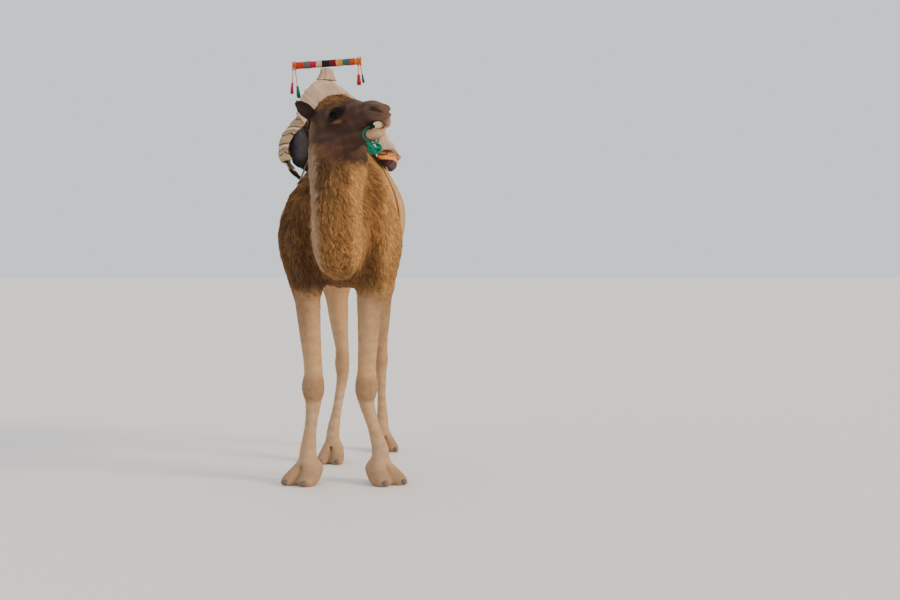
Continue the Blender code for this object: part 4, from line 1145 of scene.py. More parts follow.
class CAMEL_OT_skin(bpy.types.Operator):
    """One skin over trunk, neck, head, jaw, ears, legs and tail, finer over the head and the legs"""
    bl_idname = "camel.skin"
    bl_label = "Skin"

    def execute(self, context):
        sizes = context.scene.camel_sizes
        body = body_masses() + limb_details()
        top = head_masses() + mouth_details()
        for side in (-1, 1):
            top += ear_masses(side) + face_details(side)
        whole = bmesh.new()
        # each region's masses, the corners of its box and the spacing of its grid
        regions = (
            (body + top[1:4], (-0.42, -0.75, 0.9), (0.42, 1.68, 2.3), sizes.body_cell),
            (body, (-0.42, -0.32, -0.02), (0.42, 1.68, LEG_CUT + 0.03), sizes.leg_cell),
            (top, (-0.24, -0.96, HEAD_CUT - 0.02), (0.38, HEAD_REACH, 2.09), sizes.head_cell),
        )
        for number, (masses, low, high, cell) in enumerate(regions):
            points, faces = surface(sampled(masses, low, high, cell), low, cell)
            points = drawn_in(points, faces, coat_depth)
            if number == 0:
                part = trimmed(points, faces, LEG_CUT, True)
                neck = dict.fromkeys(v for v in part.verts if v.co.y < HEAD_REACH + 0.05)
                geom = [*neck, *(e for e in part.edges if all(v in neck for v in e.verts)),
                        *(f for f in part.faces if all(v in neck for v in f.verts))]
                cut_at(part, geom, HEAD_CUT, False)
            elif number == 1:
                points[:, 2] = np.maximum(points[:, 2], SOLE - ANCHOR[2])
                part = trimmed(points, faces, LEG_CUT - SEAM, False)
            else:
                part = trimmed(points, faces, HEAD_CUT + SEAM, True)
            mesh = bpy.data.meshes.new("region")
            part.to_mesh(mesh)
            part.free()
            whole.from_mesh(mesh)
            bpy.data.meshes.remove(mesh)
        loops = edge_loops([edge for edge in whole.edges if edge.is_boundary])
        loops = [loop for loop in loops if len(loop) > 8]
        middles = [sum((e.verts[0].co for e in loop), Vector()) / len(loop) for loop in loops]
        while loops:
            loop, middle = loops.pop(), middles.pop()
            near = min(range(len(loops)), key=lambda k: (middles[k] - middle).length)
            bmesh.ops.bridge_loops(whole, edges=[*loop, *loops.pop(near)])
            middles.pop(near)
        loose = [v for v in whole.verts if not v.link_faces]
        bmesh.ops.delete(whole, geom=loose, context="VERTS")
        bmesh.ops.recalc_face_normals(whole, faces=whole.faces)
        mesh = bpy.data.meshes.new("skin")
        whole.to_mesh(mesh)
        open_edges = sum(edge.is_boundary for edge in whole.edges)
        whole.free()
        mesh.transform(Matrix.Translation(ANCHOR))
        mesh.polygons.foreach_set("use_smooth", np.ones(len(mesh.polygons), bool))
        skin = bpy.data.objects.new("skin", mesh)
        context.scene.collection.objects.link(skin)
        points, _, triangles = arrays(skin)
        self.report({"INFO"}, f"skin: {len(triangles)} triangles, {open_edges} open edges")
        # the same markings as the coat's, darker where long hair shades them
        toned(skin, hide_colour(points) * (1 - 0.42 * np.maximum(on_wool(points), on_crown(points)))[:, None])
        legs = [f"leg_{end}_{side}" for end in ("front", "hind") for side in ("left", "right")]
        dressed(skin, hide_finish(), "coat_tan", "trunk", "neck", "head", "lower_jaw", "tail",
                "ear_left", "ear_right", *legs)
        return {"FINISHED"}


# ---- the coat
def lie_of_hair(points, normals):
    """The way the hair lies along the skin: back and down the body, down the legs, back from the nose."""
    x = points[:, 0]
    legs, head, tail, wool = on_legs(points), on_head(points), on_tail(points), on_wool(points)
    trunk = np.stack([0 * x, 0.8 + 0 * x, -0.62 + 0 * x], axis=1)
    neck = np.stack([0.05 * np.sign(x), 0.35 + 0 * x, -1 + 0 * x], axis=1)
    down = np.array((0, 0.1, -1.0))
    hx, hy, hz = placed_back(HEAD_BACK, points).T
    turn = np.array(HEAD.to_3x3())
    back = turn @ np.array((0, 1, -0.25))
    lower = turn @ np.array((0, 0.75, -0.6))
    crown = on_crown(points)
    way = trunk * (1 - wool)[:, None] + neck * wool[:, None]
    way = way * (1 - legs)[:, None] + down * legs[:, None]
    way = way * (1 - tail)[:, None] + np.array((0, 0.25, -1.0)) * tail[:, None]
    low = ramp(hz, -0.03, -0.1)
    face = back * (1 - low)[:, None] + lower * low[:, None]
    swirl = turn @ np.array((0, -0.35, 0.25))
    face = face * (1 - crown)[:, None] + (back * 0.55 + swirl) * crown[:, None]
    # an ear's hair runs up to its tip
    ear = ramp(np.abs(hx), 0.082, 0.096) * ramp(hy, -0.075, -0.05)
    out = np.stack([np.sign(hx) * 0.07, 0 * x + 0.06, 0 * x + 0.088], axis=1) @ turn.T
    face = face * (1 - ear)[:, None] + unit(out) * ear[:, None]
    way = way * (1 - head)[:, None] + face * head[:, None]
    swing = np.stack([wander(points, 0.11, 21 + k) for k in range(3)], axis=1)
    way = way + swing * (0.1 + 0.16 * wool + 0.35 * crown)[:, None]
    way = way - normals * (way * normals).sum(axis=1)[:, None]
    return unit(way + 1e-9)


def scattered(points, normals, triangles, weight, count, seed):
    """So many random places on a surface, by area and weight, with their normals."""
    rng = np.random.default_rng(seed)
    a, b, c = (points[triangles[:, k]] for k in range(3))
    area = 0.5 * np.linalg.norm(np.cross(b - a, c - a), axis=1)
    share = area * weight((a + b + c) / 3)
    picked = rng.choice(len(triangles), count, p=share / share.sum())
    one, two = rng.random(count), rng.random(count)
    fold = one + two > 1
    one, two = np.where(fold, 1 - one, one)[:, None], np.where(fold, 1 - two, two)[:, None]
    corners = triangles[picked]
    first, second, third = corners.T
    places, ways = (rows[first] * (1 - one - two) + rows[second] * one + rows[third] * two
                    for rows in (points, normals))
    return places, unit(ways), rng


# how far along a tuft its rings are, how wide it is there as a share of its width, and how high its ridge
CURLED = ((0.0, 0.36, 0.72), (0.75, 1.0, 0.68), 0.85)
STRAIGHT = ((0.0, 0.5), (0.85, 1.0), 0.4)


def clumped(roots, normals, lies, length, strands, spread, gather, rng):
    """So many strands for each place: their roots are spread round it and their tips drawn together.

    Returns the strands' roots, the number of the place each one is from, its way and its length.
    """
    place = np.repeat(np.arange(len(roots)), strands)
    aside = np.cross(normals, lies)[place]
    off = rng.normal(0, 0.6, (2, len(place), 1)) * spread[place][:, None]
    shift = aside * off[0] + lies[place] * off[1]
    shift[::strands] = 0
    own = (length[place] * rng.uniform(0.76, 1.16, len(place)))[:, None]
    way = lies[place] * own - shift * gather
    return roots[place] + shift, place, unit(way), np.linalg.norm(way, axis=1)


def locks(name, roots, normals, lies, length, width, lift, curl, phase, colours, root_shade, unwrap, shape=CURLED):
    """Tufts of hair: each has a three-sided section and runs from its root along the lie of the coat.

    Along it, s from 0 to 1: it rises by lift (s - 0.62 s^2) of its length, swings aside by a sine wave
    of the curl from its phase on, its width falls to nothing at the tip, and its root is painted darker,
    painted shade deep in the coat, while its ridge and tip are painted lighter, a painted highlight.
    """
    count, rings = len(roots), len(shape[0])
    size = 3 * rings + 1
    aside = np.cross(normals, lies)
    s = np.append(shape[0], 1.0)[None, :, None]
    length, width, lift, curl, phase = (np.broadcast_to(v, count).reshape(-1, 1, 1)
        for v in (length, width, lift, curl, phase))
    swing = curl * (np.sin(phase + 4.2 * s) - np.sin(phase))
    bob = 0.4 * curl * (np.cos(phase + 4.2 * s) - np.cos(phase))
    middle = (roots[:, None] + length * (s * lies[:, None] + (lift * (s - 0.62 * s * s) + bob)
        * normals[:, None] + swing * aside[:, None]) - 0.0005 * normals[:, None])
    wide = width * np.array(shape[1])[None, :, None]
    ring = middle[:, :rings]
    sides = [ring + wide * (across * aside[:, None] + up * normals[:, None])
             for across, up in ((-1, 0), (1, 0), (0, shape[2]))]
    body = np.stack(sides, axis=2).reshape(count, 3 * rings, 3)
    points = np.concatenate([body, middle[:, rings:]], axis=1)
    quads = np.array([[3 * k + a, 3 * k + b, 3 * k + 3 + b, 3 * k + 3 + a]
                      for k in range(rings - 1) for a, b in ((0, 1), (1, 2), (2, 0))])
    last = size - 4
    ends = np.array([[last, last + 1, last + 3], [last + 1, last + 2, last + 3],
                     [last + 2, last, last + 3], [2, 1, 0]])
    first = (np.arange(count) * size)[:, None, None]
    obj = mesh_of(name, points.reshape(-1, 3), (quads + first).reshape(-1, 4), (ends + first).reshape(-1, 3))
    along = np.append(np.repeat(shape[0], 3), 1.0)
    # each ring's top corner 8% and the tip 6% lighter: a painted highlight along the ridge; the root darker:
    # painted shade deep in the coat
    ridge = np.append(np.tile([0, 0, 0.08], rings), 0.06)
    light = 1 - np.asarray(root_shade).reshape(-1, 1, 1) * (1 - along)[None, :, None] ** 1.5 + ridge[None, :, None]
    toned(obj, np.clip(colours[:, None] * light, 0, 1).reshape(-1, 3))
    # a low ridge has flat sides: smoothed ones would look darker than the skin under them
    obj.data.polygons.foreach_set("use_smooth", np.full(len(obj.data.polygons), shape is CURLED))
    small = 0.0015 * np.stack([np.append(np.tile([-1, 1, 0], rings), 0),
        np.append(np.repeat(np.linspace(-1, 0.4, rings), 3), 1)], axis=1)
    mapped(obj, (unwrap(roots)[:, None] + small[None]).reshape(-1, 2), "OFBake")
    return obj


def round_body(points):
    """An unwrap of neck and trunk: the angle about the body's length, and the way along it."""
    angle = np.arctan2(points[:, 0], -(points[:, 2] - 1.45)) / (2 * math.pi) + 0.5
    return np.stack([0.02 + 0.96 * angle, 0.02 + 0.96 * (points[:, 1] + 0.8) / 2.5], axis=1)


def round_neck(points):
    """An unwrap of the neck: the angle about its upright line, and the height."""
    angle = np.arctan2(points[:, 0] - 0.01, -(points[:, 1] + 0.4)) / (2 * math.pi) + 0.5
    return np.stack([0.02 + 0.96 * angle, 0.02 + 0.96 * (points[:, 2] - 1.0) / 1.1], axis=1)


def round_head(points):
    """An unwrap of the head: the angle about its length, and the way along it; each ear has its own strip."""
    hx, hy, hz = placed_back(HEAD_BACK, points).T
    angle = np.arctan2(hx, -(hz + 0.05)) / (2 * math.pi) + 0.5
    flat = np.stack([0.02 + 0.96 * angle, 0.02 + 0.8 * (hy + 0.5) / 0.75], axis=1)
    ear = (np.abs(hx) > 0.088) & (hy > -0.09)
    outwards = 0.05 + 2.2 * (np.abs(hx) - 0.088)
    strip = np.stack([0.5 + np.sign(hx) * outwards, 0.86 + 0.6 * (hz + 0.03)], axis=1)
    return np.where(ear[:, None], np.clip(strip, 0.02, 0.98), flat)


def round_legs(points):
    """An unwrap of the legs, one quarter of the map to each: the angle about the leg, and the height."""
    x, y, z = points.T
    hind = y > 0.5
    left = np.where(hind, x > 0.02, x > 0)
    middle = np.zeros((len(points), 2))
    for name, leg in LEGS.items():
        mine = (hind == name.startswith("hind")) & (left == name.endswith("left"))
        joints = leg["joints"]
        heights = [FETLOCK, HOCK if name.startswith("hind") else KNEE, 1.05]
        for k in range(2):
            middle[:, k] = np.where(mine, np.interp(z, heights, [j[k] for j in joints[::-1]]), middle[:, k])
    angle = np.arctan2(x - middle[:, 0], -(y - middle[:, 1])) / (2 * math.pi) + 0.5
    return np.stack([0.25 * (hind * 2 + left) + 0.01 + 0.23 * angle, 0.02 + 0.96 * z / 1.15], axis=1)


def on_trunk(points):
    """1 on the trunk, thinned out under the tack."""
    return ((points[:, 1] >= -0.12) * (on_tail(points) < 0.5) * (on_legs(points) < 0.5)
            * (1 - 0.85 * under_tack(points)))


def on_neck(points):
    return (on_head(points) <= 0.5) * (points[:, 1] < -0.12) * (points[:, 2] > 1.0)


# piece, its share of the tufts, their shape and strands to a clump, its unwrap and slot, and where it grows
COAT_PIECES = (
    ("coat_head", 0.165, STRAIGHT, 3, round_head, "coat_face",
     lambda p: (on_head(p) > 0.5) * (1 + 0.9 * on_crown(p) + 0.5 * on_muzzle(p))),
    ("coat_neck_right", 0.104, CURLED, 5, round_neck, "coat_tan", lambda p: on_neck(p) * (p[:, 0] < 0.01)),
    ("coat_neck_left", 0.104, CURLED, 5, round_neck, "coat_tan", lambda p: on_neck(p) * (p[:, 0] >= 0.01)),
    ("coat_shoulder_right", 0.082, CURLED, 5, round_body, "coat_tan",
     lambda p: on_trunk(p) * (p[:, 1] < 0.3) * (p[:, 0] < 0.01)),
    ("coat_shoulder_left", 0.082, CURLED, 5, round_body, "coat_tan",
     lambda p: on_trunk(p) * (p[:, 1] < 0.3) * (p[:, 0] >= 0.01)),
    ("coat_flank_right", 0.14, STRAIGHT, 4, round_body, "coat_tan",
     lambda p: on_trunk(p) * (p[:, 1] >= 0.3) * (p[:, 0] < 0.01)),
    ("coat_flank_left", 0.14, STRAIGHT, 4, round_body, "coat_tan",
     lambda p: on_trunk(p) * (p[:, 1] >= 0.3) * (p[:, 0] >= 0.01)),
    ("coat_legs", 0.163, STRAIGHT, 3, round_legs, "coat_leg",
     lambda p: (on_legs(p) >= 0.5) * (on_tail(p) < 0.5) * (p[:, 2] > 0.026)),
    ("coat_tail", 0.02, CURLED, 3, round_body, "coat_tail", lambda p: (on_tail(p) >= 0.5) * 1.0),
)


def tuft_sizes(points):
    """Length, half width, lift, curl and painted shade at the root of the tufts at each place."""
    head, crown, legs, wool, tail = (f(points) for f in (on_head, on_crown, on_legs, on_wool, on_tail))
    muzzle, tack = on_muzzle(points), under_tack(points)
    q = placed_back(HEAD_BACK, points)
    z = points[:, 2]
    around_eye = ramp(np.linalg.norm(beside(q, EYE), axis=1), 0.05, 0.03)
    feet = ramp(z, 0.22, 0.08)
    shaggy = ramp(points[:, 1], -0.26, -0.12)
    beard = ramp(q[:, 2], -0.105, -0.165) * ramp(q[:, 1], -0.27, -0.16)

    def blended(trunk, curly, shoulder, leg, foot, face, crowned, nose, tailed):
        woolly = curly + (shoulder - curly) * shaggy
        value = trunk + (woolly - trunk) * wool
        value = value + (leg - value) * legs
        value = value + (foot - value) * feet * (1 - tail)
        value = value + (tailed - value) * tail * ramp(z, 1.45, 1.15)
        on_face = face + (nose - face) * muzzle
        on_face = on_face + (0.75 * trunk + 0.25 * curly - on_face) * beard
        on_face = on_face + (crowned - on_face) * crown
        return value + (on_face - value) * head

    length = blended(0.025, 0.036, 0.046, 0.02, 0.011, 0.011, 0.028, 0.005, 0.09) * (1 - 0.45 * around_eye)
    width = blended(0.0021, 0.002, 0.0018, 0.0018, 0.0012, 0.0009, 0.0013, 0.0006, 0.0018)
    width = width * (1 - 0.3 * around_eye)
    lift = blended(0.08, 0.42, 0.26, 0.05, 0.06, 0.1, 0.5, 0.1, 0.14) * (1 - 0.8 * tack)
    curl = blended(0.05, 0.2, 0.09, 0.05, 0.04, 0.05, 0.22, 0.03, 0.08)
    # how much darker each tuft's root is painted: painted shade, deepest in the wool
    root_shade = blended(0.12, 0.5, 0.42, 0.04, 0.03, 0.12, 0.45, 0.06, 0.35)
    return length, width, lift, curl, root_shade


class CAMEL_OT_coat(bpy.types.Operator):
    """Tufts of hair over the skin: short and flat on trunk, legs and face, woolly on neck and crown"""
    bl_idname = "camel.coat"
    bl_label = "Coat"

    def execute(self, context):
        sizes = context.scene.camel_sizes
        points, normals, triangles = arrays(bpy.data.objects["skin"])
        total = sizes.tufts
        tree = BVHTree.FromPolygons(points.tolist(), triangles.tolist())
        material = coat_finish()
        for number, (name, share, shape, strands, unwrap, slot, grows) in enumerate(COAT_PIECES):
            count = int(total * share / strands)
            roots, ways, rng = scattered(points, normals, triangles, grows, count, 100 + number)
            keep = bare_places(roots)
            roots, ways = roots[keep], ways[keep]
            length, width, lift, curl, root_shade = tuft_sizes(roots)
            count = len(roots)
            length = length * rng.uniform(0.78, 1.22, count) * sizes.coat_length
            phase = rng.uniform(0, 2 * math.pi, count)
            spread = length * np.where(length > 0.028, 0.24, 0.55)
            colour_of = hide_colour(roots) * (1 + rng.normal(0, 1, count) * (0.03 + 0.22 * root_shade))[:, None]
            lies = lie_of_hair(roots, ways)
            gather = 0.75 if shape is CURLED else 0.15
            roots, place, lies, length = clumped(roots, ways, lies, length, strands, spread, gather, rng)
            # strands spread off a thin limb are set back on its surface
            roots = np.array([tree.find_nearest(Vector(root))[0] for root in roots])
            normal = unit(ways[place] - lies * (ways[place] * lies).sum(axis=1)[:, None])
            many = len(place)
            coat = locks(name, roots, normal, lies, length,
                width[place] * rng.uniform(0.8, 1.2, many), lift[place] * rng.uniform(0.6, 1.4, many),
                curl[place], phase[place] + rng.normal(0, 0.25, many),
                colour_of[place] * rng.normal(1, 0.05, (many, 1)), root_shade[place], unwrap, shape)
            dressed(coat, material, slot)
        return {"FINISHED"}


def bare_places(points):
    """False where no hair grows: in the mouth, in the nostrils and between the lids."""
    q = placed_back(HEAD_BACK, points)
    hx, hy, hz = q.T
    eye = np.linalg.norm(beside(q, EYE), axis=1) < EYE_RADIUS + 0.0045
    slit = np.linalg.norm(beside(q, (0.036, -0.425, 0.006)) / (0.014, 0.03, 0.009), axis=1) < 1
    mouth = (np.abs(hz + 0.08) < 0.01) & (np.abs(hx) < 0.036) & (hy < -0.27) & (hy > -0.432)
    soles = points[:, 2] < 0.02
    return ~(eye | slit | mouth | soles)


# ---- eyes, teeth and nails
def globe(centre, radii, place, rows=20, columns=28, blunt=1.0):
    """An ellipsoid over the angle about its outward axis (X) and the angle from it; closed at both poles.

    Each coordinate is raised to the power blunt, so that below 1 the form is squarer and its ends blunter.
    """
    down = np.linspace(0, math.pi, rows + 1)[1:-1]
    around = 2 * math.pi * np.arange(columns) / columns
    high, wide = np.cos(down)[:, None], np.sin(down)[:, None]
    ring = np.stack([high + 0 * around, wide * np.cos(around), wide * np.sin(around)], axis=-1).reshape(-1, 3)
    local = np.vstack([ring, [(1, 0, 0), (-1, 0, 0)]])
    points = np.sign(local) * np.abs(local) ** blunt * radii + centre
    turn = np.array(place)
    points = points @ turn[:3, :3].T + turn[:3, 3]
    faces = grid_faces(rows - 1, columns, around=True)
    first = np.arange(columns)
    last = first + (rows - 2) * columns
    poles = np.vstack([np.stack([first, np.roll(first, -1), np.full(columns, len(ring))], axis=1),
        np.stack([np.roll(last, -1), last, np.full(columns, len(ring) + 1)], axis=1)])
    return points, faces, poles, local


def merged(parts):
    """Several (points, four-sided faces, three-sided faces) as one."""
    starts = np.cumsum([0] + [len(part[0]) for part in parts])
    points = np.vstack([part[0] for part in parts])
    quads = np.vstack([part[1] + start for part, start in zip(parts, starts)])
    triangles = [part[2] + start for part, start in zip(parts, starts) if len(part[2])]
    return points, quads, np.vstack(triangles) if triangles else np.empty((0, 3), int)


def outward(obj):
    """Turns all faces of closed bodies outwards."""
    bm = bmesh.new()
    bm.from_mesh(obj.data)
    bmesh.ops.recalc_face_normals(bm, faces=bm.faces)
    bm.to_mesh(obj.data)
    bm.free()
    return obj


class CAMEL_OT_eyes(bpy.types.Operator):
    """Two wet dark eyes in their sockets"""
    bl_idname = "camel.eyes"
    bl_label = "Eyes"

    def execute(self, context):
        material = eye_finish()
        for side, word in ((1, "left"), (-1, "right")):
            place = (HEAD @ Matrix.Translation((side * EYE[0], EYE[1], EYE[2]))
                @ Matrix.Rotation(math.radians(0 if side > 0 else 180), 4, "Z")
                @ Matrix.Rotation(math.radians(-14 * side), 4, "Z"))
            points, faces, poles, local = globe((0, 0, 0), (EYE_RADIUS + 0.0022,) * 3, place)
            eye = outward(mesh_of(f"eyeball_{word}", points, faces, poles))
            mapped(eye, local[:, 1:], "weave")
            dressed(eye, material, "eye", f"eye_{word}")
        self.lashes()
        return {"FINISHED"}

    def lashes(self):
        """Long thin lashes along both lids: they stand out from the arc over the eye and curve up or down."""
        rng = np.random.default_rng(5)
        turn = np.array(HEAD)[:3, :3]
        rows = []
        for side in (-1, 1):
            for peak, count, up in ((40, 60, 0.15), (-34, 36, -0.35)):
                share = (np.arange(count) + rng.uniform(-0.3, 0.3, count)) / count * 2 - 1
                around = np.radians(62 * share)
                rise = math.radians(peak) * np.cos(math.pi / 2 * share) - 0.1 * np.sin(around)
                out = EYE_RADIUS + 0.005
                reach = np.stack([side * np.cos(rise) * np.cos(around),
                    np.cos(rise) * np.sin(around) * 1.08, np.sin(rise)], axis=1)
                roots = reach * out + np.array((side * EYE[0], EYE[1], EYE[2]))
                lies = unit(reach * (1, 1, 0) + rng.normal(0, 0.07, (count, 3)) + np.array((0, -0.25, up)))
                normals = unit(np.array((0, 0, math.copysign(1, peak))) + 0 * lies)
                normals = unit(normals - lies * (normals * lies).sum(axis=1)[:, None])
                length = (0.017 if peak > 0 else 0.009) * rng.uniform(0.75, 1.2, count)
                rows.append((placed_back(np.array(HEAD), roots), normals @ turn.T, lies @ turn.T, length))
        roots, normals, lies, length = (np.concatenate(part) for part in zip(*rows))
        made = locks("lashes", roots, normals, lies, length, 0.00045, 0.25, 0.03, 0.0,
            np.tile((0.016, 0.011, 0.009), (len(roots), 1)), 0.0, round_head)
        dressed(made, coat_finish(), "coat_face")


class CAMEL_OT_teeth(bpy.types.Operator):
    """The six lower front teeth, worn and yellow"""
    bl_idname = "camel.teeth"
    bl_label = "Teeth"

    def execute(self, context):
        rows = []
        for k in range(6):
            across = (k - 2.5) * 0.0098
            turn = (HEAD @ Matrix.Translation((across, -0.415 + 7.0 * across ** 2, -0.082))
                @ Matrix.Rotation(math.radians(18), 4, "X"))
            rows.append(globe((0, 0, 0), (0.0045, 0.0036, 0.017), turn, 12, 16, 0.62)[:3])
        points, faces, poles = merged(rows)
        teeth = outward(mesh_of("teeth", points, faces, poles))
        dressed(teeth, plain_finish("tooth", (0.62, 0.47, 0.24), 0.004, 0.38, spread=0.28), "coat_face")
        return {"FINISHED"}


class CAMEL_OT_nails(bpy.types.Operator):
    """The nail at the front of each toe: a low horn hood"""
    bl_idname = "camel.nails"
    bl_label = "Nails"

    def execute(self, context):
        rows, names = [], []
        for name in LEGS:
            length, width = TOE_SIZE[name.split("_")[0]]
            for side, word in ((-1, "right"), (1, "left")):
                start, out = toe_way(name, side)
                tip = start + out * length * 0.99
                place = (Matrix.Translation((tip.x - 0.002 * out.x, tip.y - 0.002 * out.y, 0.023))
                    @ Matrix.Rotation(math.atan2(out.x, -out.y), 4, "Z")
                    @ Matrix.Rotation(math.radians(16), 4, "X"))
                rows.append(globe((0, 0, 0), (0.19 * width, 0.023, 0.0135), place, 18, 26)[:3])
                names.append(f"toenail_{name}_{word}")
        nails = outward(mesh_of("nails", *merged(rows)))
        finish = plain_finish("horn", context.scene.camel_colours.nail, 0.006, 0.55, 0.0008, 0.45)
        dressed(nails, finish, "nail", *names)
        return {"FINISHED"}


# ---- the tack
# the blankets' front outline, (across, up) from right to left: what only the striped one covers, what both
# cover, and the band under the striped one's hem
SKIRT = [(-0.358, 1.738), (-0.383, 1.788), (-0.37, 1.866), (-0.326, 1.936)]
OVER = [(-0.266, 1.998), (-0.244, 2.088), (-0.193, 2.158), (-0.13, 2.182), (-0.064, 2.168),
    (0.0, 2.124), (0.083, 2.044), (0.19, 1.92), (0.268, 1.804)]
HEM = [(-0.29, 1.682), (-0.318, 1.7), (-0.341, 1.731)]
# how far along, how much lower the top of the blankets is there, and how much wider
ARCHES = ((0.275, 0.012, 0.97), (0.4, 0.0, 1.0), (0.6, 0.006, 1.02), (0.78, 0.038, 1.04),
    (0.92, 0.1, 1.04), (1.03, 0.18, 1.02))
BLANKET_STEPS = 14      # steps between two of the points above, across
ARCH_STEPS = 16         # and between two arches
FRINGE_STRANDS = 900
TASSEL_STRANDS = 130    # in each of the four
PAD_SLACK = 0.007       # how far inside the model's pad the cover starts
PAD_SWELL = 0.009       # and how far the stuffing may push it out
PAD_CELL = 0.0085       # spacing of its points


def draped(points, front=True):
    """The blanket's surface over (across, along): arches through the points, joined by a smooth run.

    At the front it turns down over the saddle bow: over t from 0 to 1 it runs forward by 0.016 (2t - t^2)
    and in towards the middle by d t^2, where d grows from 0.060 at the sides to 0.115 at the top.
    """
    rows = []
    for y, lower, wide in ARCHES:
        moved = [(x * wide, z - lower * min(1, max(0.04, (z - 1.8) / 0.38))) for x, z in points]
        fine = in_between(moved, BLANKET_STEPS)
        rows.append(np.column_stack([fine[:, 0], np.full(len(fine), y), fine[:, 1]]))
    rows = np.array(rows)
    count = rows.shape[1]
    whole = in_between(rows.reshape(len(rows), -1), ARCH_STEPS).reshape(-1, count, 3)
    if not front:
        return whole
    edge = whole[0]
    inward = np.array((-0.1, 0, 1.8)) - edge * (1, 0, 1)
    deep = 0.06 + 0.055 * ramp(edge[:, 2], 1.98, 2.12)
    t = np.linspace(1, 0, 11)[:-1, None, None]
    turned = edge + unit(inward) * deep[:, None] * t ** 2 - np.array((0, 0.016, 0)) * (2 * t - t * t)
    return np.vstack([turned, whole])


def cloth_normals(surface_points):
    return unit(np.cross(np.gradient(surface_points, axis=1), np.gradient(surface_points, axis=0)))


def folded(surface_points, deep):
    """Soft folds: waves that run up and over the blanket, and creases near its front edge, moved outwards."""
    flat = surface_points.reshape(-1, 3)
    up = cloth_normals(surface_points)
    slow = wander(flat * (1.0, 0.55, 1.0), 0.16, 41).reshape(surface_points.shape[:2])
    fine = wander(flat * (1.0, 2.2, 1.0), 0.075, 42).reshape(surface_points.shape[:2])
    front = ramp(surface_points[..., 1], 0.46, 0.29)
    wrinkles = wander(flat * (0.3, 0.6, 1.0), 0.042, 43).reshape(surface_points.shape[:2])
    rise = 0.45 + 0.3 * slow + 0.18 * fine + front * (0.2 * np.maximum(fine, 0) + 0.24 * wrinkles)
    return surface_points + up * (deep * np.clip(rise, 0, 1.4))[..., None]


def spread_flat(surface_points):
    """Mean width across and mean length along a surface, and the place of each point on it in metres."""
    across = np.linalg.norm(np.diff(surface_points, axis=1), axis=2)
    along = np.linalg.norm(np.diff(surface_points, axis=0), axis=2)
    u = np.concatenate([np.zeros((len(surface_points), 1)), np.cumsum(across, axis=1)], axis=1)
    v = np.concatenate([np.zeros((1, surface_points.shape[1])), np.cumsum(along, axis=0)])
    return (across.sum(axis=1).mean(), along.sum(axis=0).mean()), np.stack([u, v], axis=-1)


def sheet_of(name, top, thickness):
    """A closed cloth between a surface and the same one moved in by the thickness."""
    up = cloth_normals(top)
    rows, columns = top.shape[:2]
    size, places = spread_flat(top)
    points = np.vstack([top.reshape(-1, 3), (top - up * thickness).reshape(-1, 3)])
    index = np.arange(rows * columns).reshape(rows, columns)
    rim = np.concatenate([index[0], index[1:, -1], index[-1, -2::-1], index[-2:0:-1, 0]])
    edge = np.stack([rim, np.roll(rim, -1), np.roll(rim, -1) + index.size, rim + index.size], axis=-1)
    over = grid_faces(rows, columns)
    obj = outward(mesh_of(name, points, np.vstack([over, over[:, ::-1] + index.size, edge])))
    mapped(obj, np.vstack([places.reshape(-1, 2)] * 2), "weave")
    return obj, size


class CAMEL_OT_blankets(bpy.types.Operator):
    """The cream blanket over the striped one, both draped over the hump and pads"""
    bl_idname = "camel.blankets"
    bl_label = "Blankets"

    def execute(self, context):
        colours = context.scene.camel_colours
        whole = draped(SKIRT + OVER)
        soft = folded(whole, 0.011)
        first = len(SKIRT) * BLANKET_STEPS
        cream, flat = sheet_of("cream_blanket", soft[:, first:], 0.006)
        dressed(cream, cloth_finish("cream wool", colours.cream, 0.005, 0.22, cream_bands), "cloth_cream",
                "blanket_cream")
        tuple(round(float(v), 3) for v in flat)
        up = cloth_normals(whole)
        striped, flat = sheet_of("striped_blanket", soft - up * 0.012, 0.007)
        dressed(striped, cloth_finish("striped wool", colours.striped, 0.006, 0.3, zigzags), "cloth_striped",
                "blanket_striped")
        tuple(round(float(v), 3) for v in flat)
        return {"FINISHED"}


class CAMEL_OT_fringe(bpy.types.Operator):
    """The woven band under the striped blanket's hem and the black wool strands that hang from it"""
    bl_idname = "camel.fringe"
    bl_label = "Fringe"

    def execute(self, context):
        band = draped(HEM, front=False)
        half = band.shape[1] // 2
        obj, flat = sheet_of("fringe_band", band[:, half - 2:], 0.005)
        dressed(obj, cloth_finish("fringe band", (0.42, 0.34, 0.24), 0.004, 0.3, fringe_bands), "fringe",
            "fringe")
        tuple(round(float(v), 3) for v in flat)
        rng = np.random.default_rng(7)
        count = FRINGE_STRANDS
        row = rng.integers(0, len(band) - 1, count)
        column = rng.integers(half - 4, half + 3, count)
        roots = band[row, column] + rng.uniform(-0.003, 0.003, (count, 3))
        out = cloth_normals(band)[row, column]
        lies = unit(np.array((0.05, 0.0, -1.0)) + 0.35 * (band[row, 0] - band[row, -1]) / 0.07
            + rng.normal(0, 0.1, (count, 3)))
        lies = unit(lies - out * (lies * out).sum(axis=1)[:, None])
        strands = locks("fringe_strands", roots, out, lies, rng.uniform(0.045, 0.062, count), 0.0024, 0.02,
            0.05, rng.uniform(0, 6.28, count), np.tile((0.02, 0.018, 0.018), (count, 1)), 0.2, round_body)
        dressed(strands, coat_finish(), "fringe")
        return {"FINISHED"}


def fringe_bands(f, u, v, ground):
    return f.paint.maths("PINGPONG", v, 0.02).above(0.012, 0.003).mix(ground, (0.05, 0.04, 0.04))


